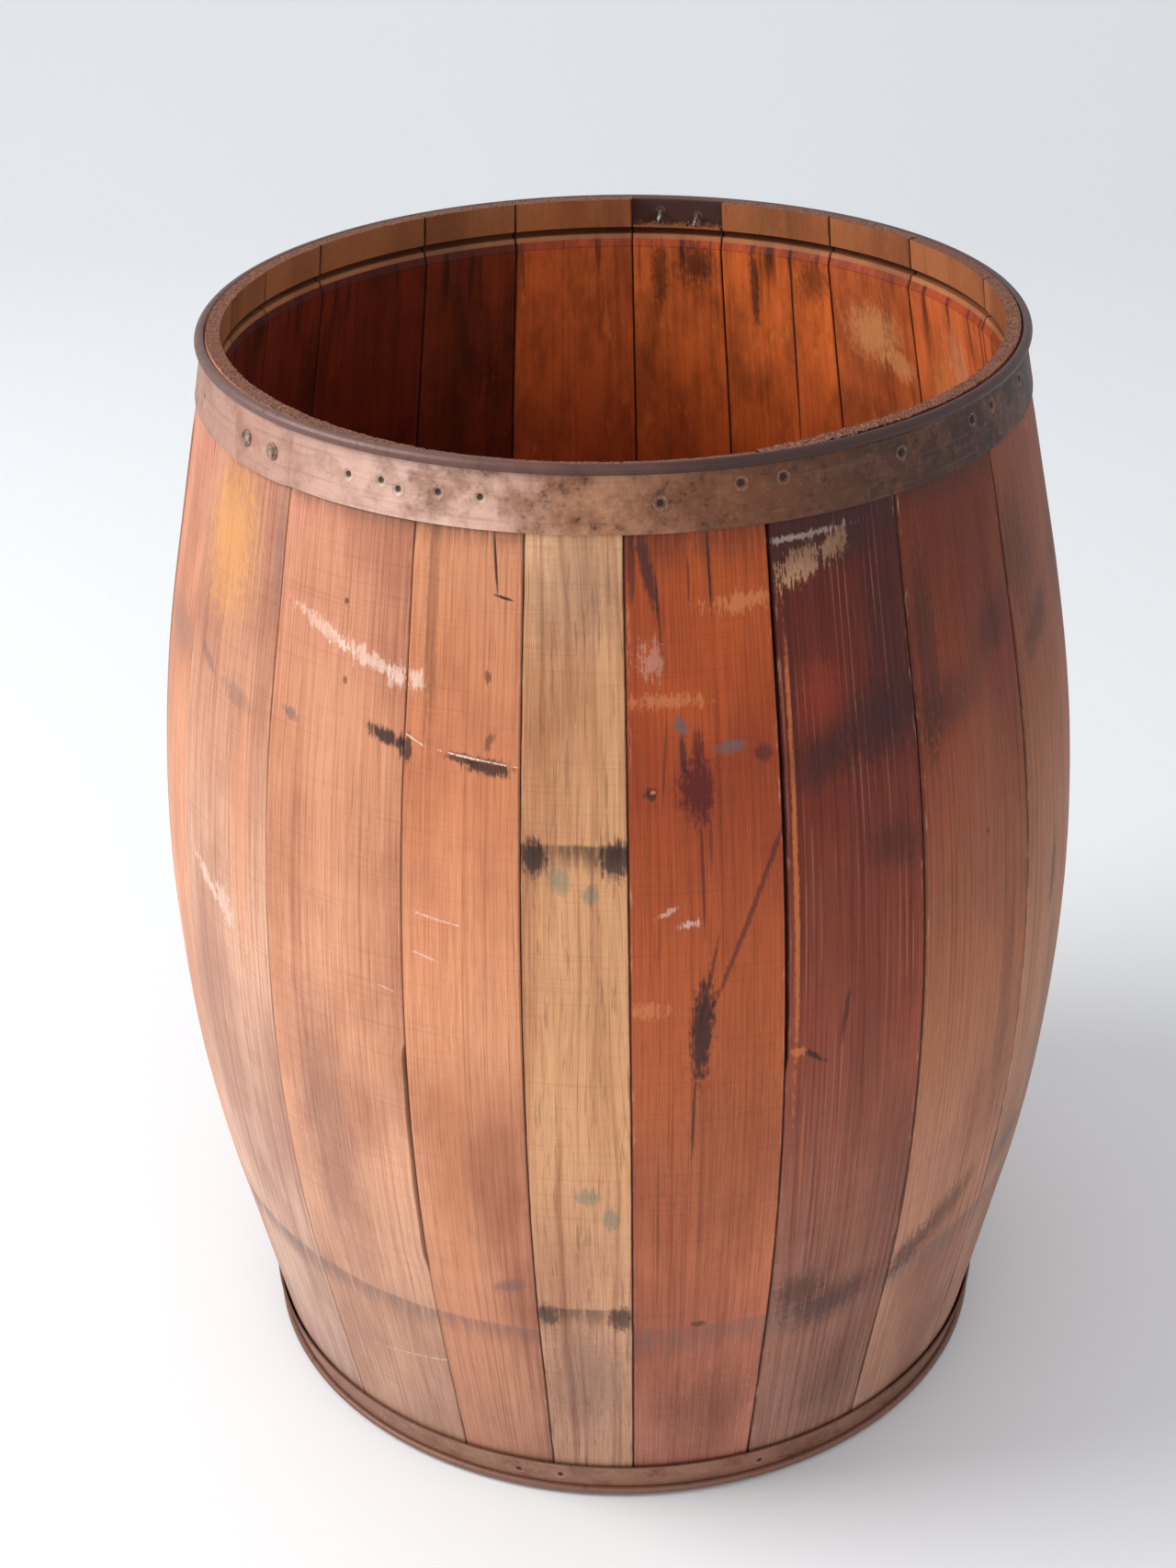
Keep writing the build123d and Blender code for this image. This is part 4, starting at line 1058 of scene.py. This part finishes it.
# On the top hoop's strip, the pale stops at 0.36 and 0.43 are a painted highlight at the left front, over the rust.
top_steel = steel_material(
    "top_hoop_steel",
    [(0.0, (84, 62, 50)), (0.2, (124, 94, 80)), (0.36, (184, 140, 122)), (0.43, (222, 182, 166)),
     (0.49, (172, 120, 86)), (0.54, (112, 62, 30)), (0.59, (66, 34, 18)), (0.66, (46, 26, 16)), (0.72, (66, 50, 42)),
     (1.0, (84, 62, 50))],
    [(0.0, (90, 60, 54)), (0.35, (104, 74, 66)), (0.45, (104, 68, 60)), (0.53, (60, 32, 26)), (0.7, (66, 42, 36)),
     (1.0, (96, 66, 60))], 0.8, 11.0)
bottom_steel = steel_material(
    "bottom_hoop_steel",
    [(0.0, (96, 66, 50)), (0.3, (140, 98, 80)), (0.45, (160, 118, 96)), (0.55, (150, 104, 82)),
     (0.65, (120, 82, 64)), (1.0, (96, 66, 50))],
    [(0.0, (96, 66, 54)), (0.5, (130, 90, 74)), (1.0, (96, 66, 54))], 0.6, 23.0, 0.2)

# %% [markdown]
# ## The lap
# The ring's two ends lie over each other under two rivets. The upper end is a plate of its own
# here. One end of it shows its cut edge, and the other sinks into the strip.

# %% Bend the hoops
def lap_blank(hoop):
    """The flat plate of a lap: columns along it, rows up it, and two layers."""
    length_steps, rise_steps = 48, 34
    columns = [lap_length * (i / length_steps - 0.5) for i in range(length_steps + 1)]
    foot = 2 * bead_radius - 0.6 * mm
    rows = [foot + (hoop["height"] - foot) * j / rise_steps for j in range(rise_steps + 1)]
    mesh = lattice("lap_blank", columns, rows, [0.0, 1.0])
    outward = []
    for vertex in mesh.vertices:
        share = vertex.co.x / lap_length + 0.5
        outward.append(1.0 if vertex.co.y > 0.5 else 0.0)
        corner = min(share * lap_length, (1 - share) * lap_length, hoop["height"] - vertex.co.z)
        rounding = 0.25 * mm if corner < 0.4 * mm else 0.0
        sink = 1.3 * mm * max(0.0, 1 - (1 - share) / 0.16) ** 2
        under = 0.75 * mm - sink
        over = 2 * strip_thickness - rounding - sink
        vertex.co.y = over if outward[-1] else under
        vertex.co.x += radians(hoop["lap"] if hoop["lap"] < 180 else hoop["lap"] - 360) * flat_radius
    mesh.attributes.new("skin", "FLOAT", "POINT").data.foreach_set("value", outward)
    return mesh


def joined(name, meshes):
    """Several meshes as one."""
    parts = []
    for mesh in meshes:
        part = bpy.data.objects.new(name, mesh)
        bpy.context.collection.objects.link(part)
        parts.append(part)
    with bpy.context.temp_override(active_object=parts[0], selected_editable_objects=parts):
        bpy.ops.object.join()
    mesh = parts[0].data
    bpy.data.objects.remove(parts[0])
    return mesh


def bend_hoop(name, hoop, material, lift, seed):
    """A hoop's ring and lap, bent round the barrel and joined."""
    near, widening = strip_line(hoop)
    rib_half, rib_depth = 9.5 * mm, 15.5 * mm
    spots = hoop["holes"] + hoop["nails"]
    signed = [(radians(angle if angle < 180 else angle - 360) * flat_radius, 0.0, depth * mm) for angle, depth in spots]
    holes = marks_object(f"{name}_holes", signed)
    middles = [radians(angle if angle < 180 else angle - 360) * flat_radius for angle in hoop["ribs"]] or [10.0]
    ends = [(x + side * rib_half, 0.0, rib_depth) for x in middles for side in (-1, 1)]
    ribs = marks_object(f"{name}_ribs", ends, [(2 * i, 2 * i + 1) for i in range(len(middles))])
    upward = -1.0 if hoop["at_top"] else 1.0
    plane = barrel_height if hoop["at_top"] else hoop["setback"]
    values = {"Material": material, "Holes": holes, "Ribs": ribs, "Near radius": near, "Widening": widening,
              "End plane": plane, "Upward": upward, "Dent depth": 0.9 * mm, "Lift": lift, "Seed": seed}
    meshes = [shaped(hoop_tree, blank, values) for blank in (ring_blank(hoop), lap_blank(hoop))]
    for marks in (holes, ribs):
        bpy.data.objects.remove(marks)
    return joined(name, meshes)


for name, hoop, material, seed in (("top_hoop", top_hoop, top_steel, 3.0), ("bottom_hoop", bottom_hoop, bottom_steel, 9.0)):
    mesh = bend_hoop(name, hoop, material, 0.0, seed)
    place_piece(f"{name}_shaped", mesh, "hoop_steel", name)
    print(name, "faces", len(mesh.polygons))

# %% [markdown]
# ## Rivets and nails
# These are small turned shapes, hammered a little out of round. One tree puts a copy at each point
# and turns it to face outwards, so a change to the head changes them all.

# %% The fastening tree
fastening_inputs = [("Geometry", GEOMETRY, None), ("Material", "NodeSocketMaterial", None),
                    ("Head", "NodeSocketObject", None), ("Seed", "NodeSocketInt", 0)]
fastening_tree, given = new_tree("set the fastenings", "GeometryNodeTree", fastening_inputs, [("Geometry", GEOMETRY)])
facing = node(fastening_tree, "GeometryNodeInputNamedAttribute", {"Name": "facing"}, data_type="FLOAT_VECTOR")
turned = node(fastening_tree, "FunctionNodeAlignEulerToVector",
              {"Vector": Field(fastening_tree, facing.outputs[0])}, axis="Z")
head_info = node(fastening_tree, "GeometryNodeObjectInfo", {"Object": given["Head"]})
own_turn = node(fastening_tree, "FunctionNodeRandomValue", {2: 0.0, 3: 6.28, "Seed": given["Seed"]}, data_type="FLOAT")
spin = vector(fastening_tree, 0.0, 0.0, Field(fastening_tree, own_turn.outputs[1]))
stretch = node(fastening_tree, "GeometryNodeInputNamedAttribute", {"Name": "stretch"}, data_type="FLOAT_VECTOR")
placed = node(fastening_tree, "GeometryNodeInstanceOnPoints",
              {"Points": given["Geometry"], "Instance": Field(fastening_tree, head_info.outputs["Geometry"]),
               "Rotation": Field(fastening_tree, turned.outputs[0]), "Scale": Field(fastening_tree, stretch.outputs[0])})
spun = node(fastening_tree, "GeometryNodeRotateInstances", {"Instances": Field(fastening_tree, placed.outputs[0]),
                                                            "Rotation": spin})
finish_tree(fastening_tree, Field(fastening_tree, spun.outputs[0]), given["Material"])


def turned_shape(name, profile, sides=20, uneven=0.04):
    """A closed shape turned round Z from (radius, height) points that start and end on its axis."""
    points = [(0.0, 0.0, profile[0][1])]
    for radius, height in profile[1:-1]:
        for side in range(sides):
            angle = 2 * pi * side / sides
            off = 1 + uneven * sin(2 * angle + 1) + uneven * 0.6 * sin(5 * angle)
            points.append((radius * off * cos(angle), radius * off * sin(angle), height))
    points.append((0.0, 0.0, profile[-1][1]))
    rings_made = len(profile) - 2
    faces = []
    for side in range(sides):
        after = (side + 1) % sides
        faces.append((0, 1 + after, 1 + side))
        for ring in range(rings_made - 1):
            low, high = 1 + ring * sides, 1 + (ring + 1) * sides
            faces.append((low + side, low + after, high + after, high + side))
        top = 1 + (rings_made - 1) * sides
        faces.append((top + side, top + after, len(points) - 1))
    mesh = bpy.data.meshes.new(name)
    mesh.from_pydata(points, [], faces)
    return marks_object_from(name, mesh)


def marks_object_from(name, mesh):
    """A hidden helper object for a tree to copy."""
    made = bpy.data.objects.new(name, mesh)
    bpy.context.collection.objects.link(made)
    made.hide_render = True
    return made


def strip_points(name, hoop, spots, proud):
    """Points on a strip's outer face. A deep one meets the croze inside, so its fastening is short."""
    near, widening = strip_line(hoop)
    points, directions, lengths = [], [], []
    for angle, depth in spots:
        turn = radians(angle)
        lengths += [1.0, 1.0, 0.6 if depth > 15.5 * mm and proud < 0 else 1.0]
        radius = near + strip_thickness + (depth - bead_radius) * widening + proud
        height = barrel_height - depth if hoop["at_top"] else depth + hoop["setback"]
        points.append((radius * sin(turn), -radius * cos(turn), height))
        upward = widening if hoop["at_top"] else -widening
        direction = Vector((sin(turn), -cos(turn), upward)).normalized()
        directions += list(direction)
    mesh = bpy.data.meshes.new(name)
    mesh.from_pydata(points, [], [])
    mesh.attributes.new("facing", "FLOAT_VECTOR", "POINT").data.foreach_set("vector", directions)
    mesh.attributes.new("stretch", "FLOAT_VECTOR", "POINT").data.foreach_set("vector", lengths)
    return mesh

# %% Head shapes and their steel
rivet_head = turned_shape("rivet_head", [(0, -3 * mm), (2.4 * mm, -3 * mm), (2.5 * mm, 0), (4.7 * mm, 0),
                                         (5.0 * mm, 0.35 * mm), (4.5 * mm, 0.95 * mm), (3.0 * mm, 1.3 * mm),
                                         (1.2 * mm, 1.35 * mm), (0, 1.3 * mm)])
nail_head = turned_shape("nail_head", [(0, -16 * mm), (0.3 * mm, -15.6 * mm), (1.25 * mm, -12 * mm), (1.3 * mm, 0),
                                       (2.8 * mm, -0.1 * mm), (3.0 * mm, 0.5 * mm), (2.4 * mm, 1.1 * mm),
                                       (0.9 * mm, 1.2 * mm), (0, 1.1 * mm)], 16, 0.08)


def small_steel(name, tone, worn_tone, seed):
    """Steel of the rivets and nails: the rust group in the object's own place."""
    material = bpy.data.materials.new(name)
    material.use_nodes = True
    tree = material.node_tree
    own_place = Field(tree, node(tree, "ShaderNodeTexCoord").outputs["Object"])
    rust = {"Place": own_place, "Seed": seed}
    mottling = use(tree, rust_group, "Mottling", rust)
    grains = use(tree, rust_group, "Grains", rust)
    colour = ramp(tree, mottling, [(0.35, linear(*worn_tone)), (0.5, linear(*tone)), (0.65, linear(40, 28, 24))])
    shader = tree.nodes["Principled BSDF"]
    shader.inputs["Metallic"].default_value = 0.5
    feed(tree, shader.inputs["Base Color"], colour)
    feed(tree, shader.inputs["Roughness"], grains * 0.5 + 0.2)
    bump = node(tree, "ShaderNodeBump", {"Height": grains, "Distance": 0.2 * mm, "Strength": 0.6})
    feed(tree, shader.inputs["Normal"], Field(tree, bump.outputs[0]))
    return material


rivet_steel = small_steel("rivet_steel_worn", (140, 108, 94), (190, 164, 150), 4.0)
nail_steel = small_steel("nail_steel_dark", (140, 130, 122), (226, 222, 216), 8.0)

# %% Set the rivets and nails
def rivet_spots(hoop):
    """The two rivets of a lap as (angle, depth)."""
    middle_radius = wall_radius(hoop["height"] / 2)
    half = rivet_spacing / middle_radius / 2 / pi * 180
    depth = (hoop["height"] + 2 * bead_radius) / 2
    return [(hoop["lap"] + side * half, depth) for side in (-1, 1)]


for name, hoop in (("top_hoop", top_hoop), ("bottom_hoop", bottom_hoop)):
    rivets = strip_points(f"{name}_rivet_points", hoop, rivet_spots(hoop), strip_thickness)
    mesh = shaped(fastening_tree, rivets, {"Material": rivet_steel, "Head": rivet_head, "Seed": 3})
    place_piece(f"{name}_rivets_set", mesh, "rivet_steel", f"{name}_rivets")
    nail_spots = [(angle, depth * mm) for angle, depth in hoop["nails"]]
    nails = strip_points(f"{name}_nail_points", hoop, nail_spots, -0.5 * mm)
    mesh = shaped(fastening_tree, nails, {"Material": nail_steel, "Head": nail_head, "Seed": 5})
    place_piece(f"{name}_nails_set", mesh, "nail_steel", f"{name}_nails")
    print(name, "rivets and nails set")
for helper in (rivet_head, nail_head):
    bpy.data.objects.remove(helper)

# %% Look for carried-over nodes without a material
for name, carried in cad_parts.items():
    if not carried.hide_render and not carried.data.materials:
        print("no material yet on", name)
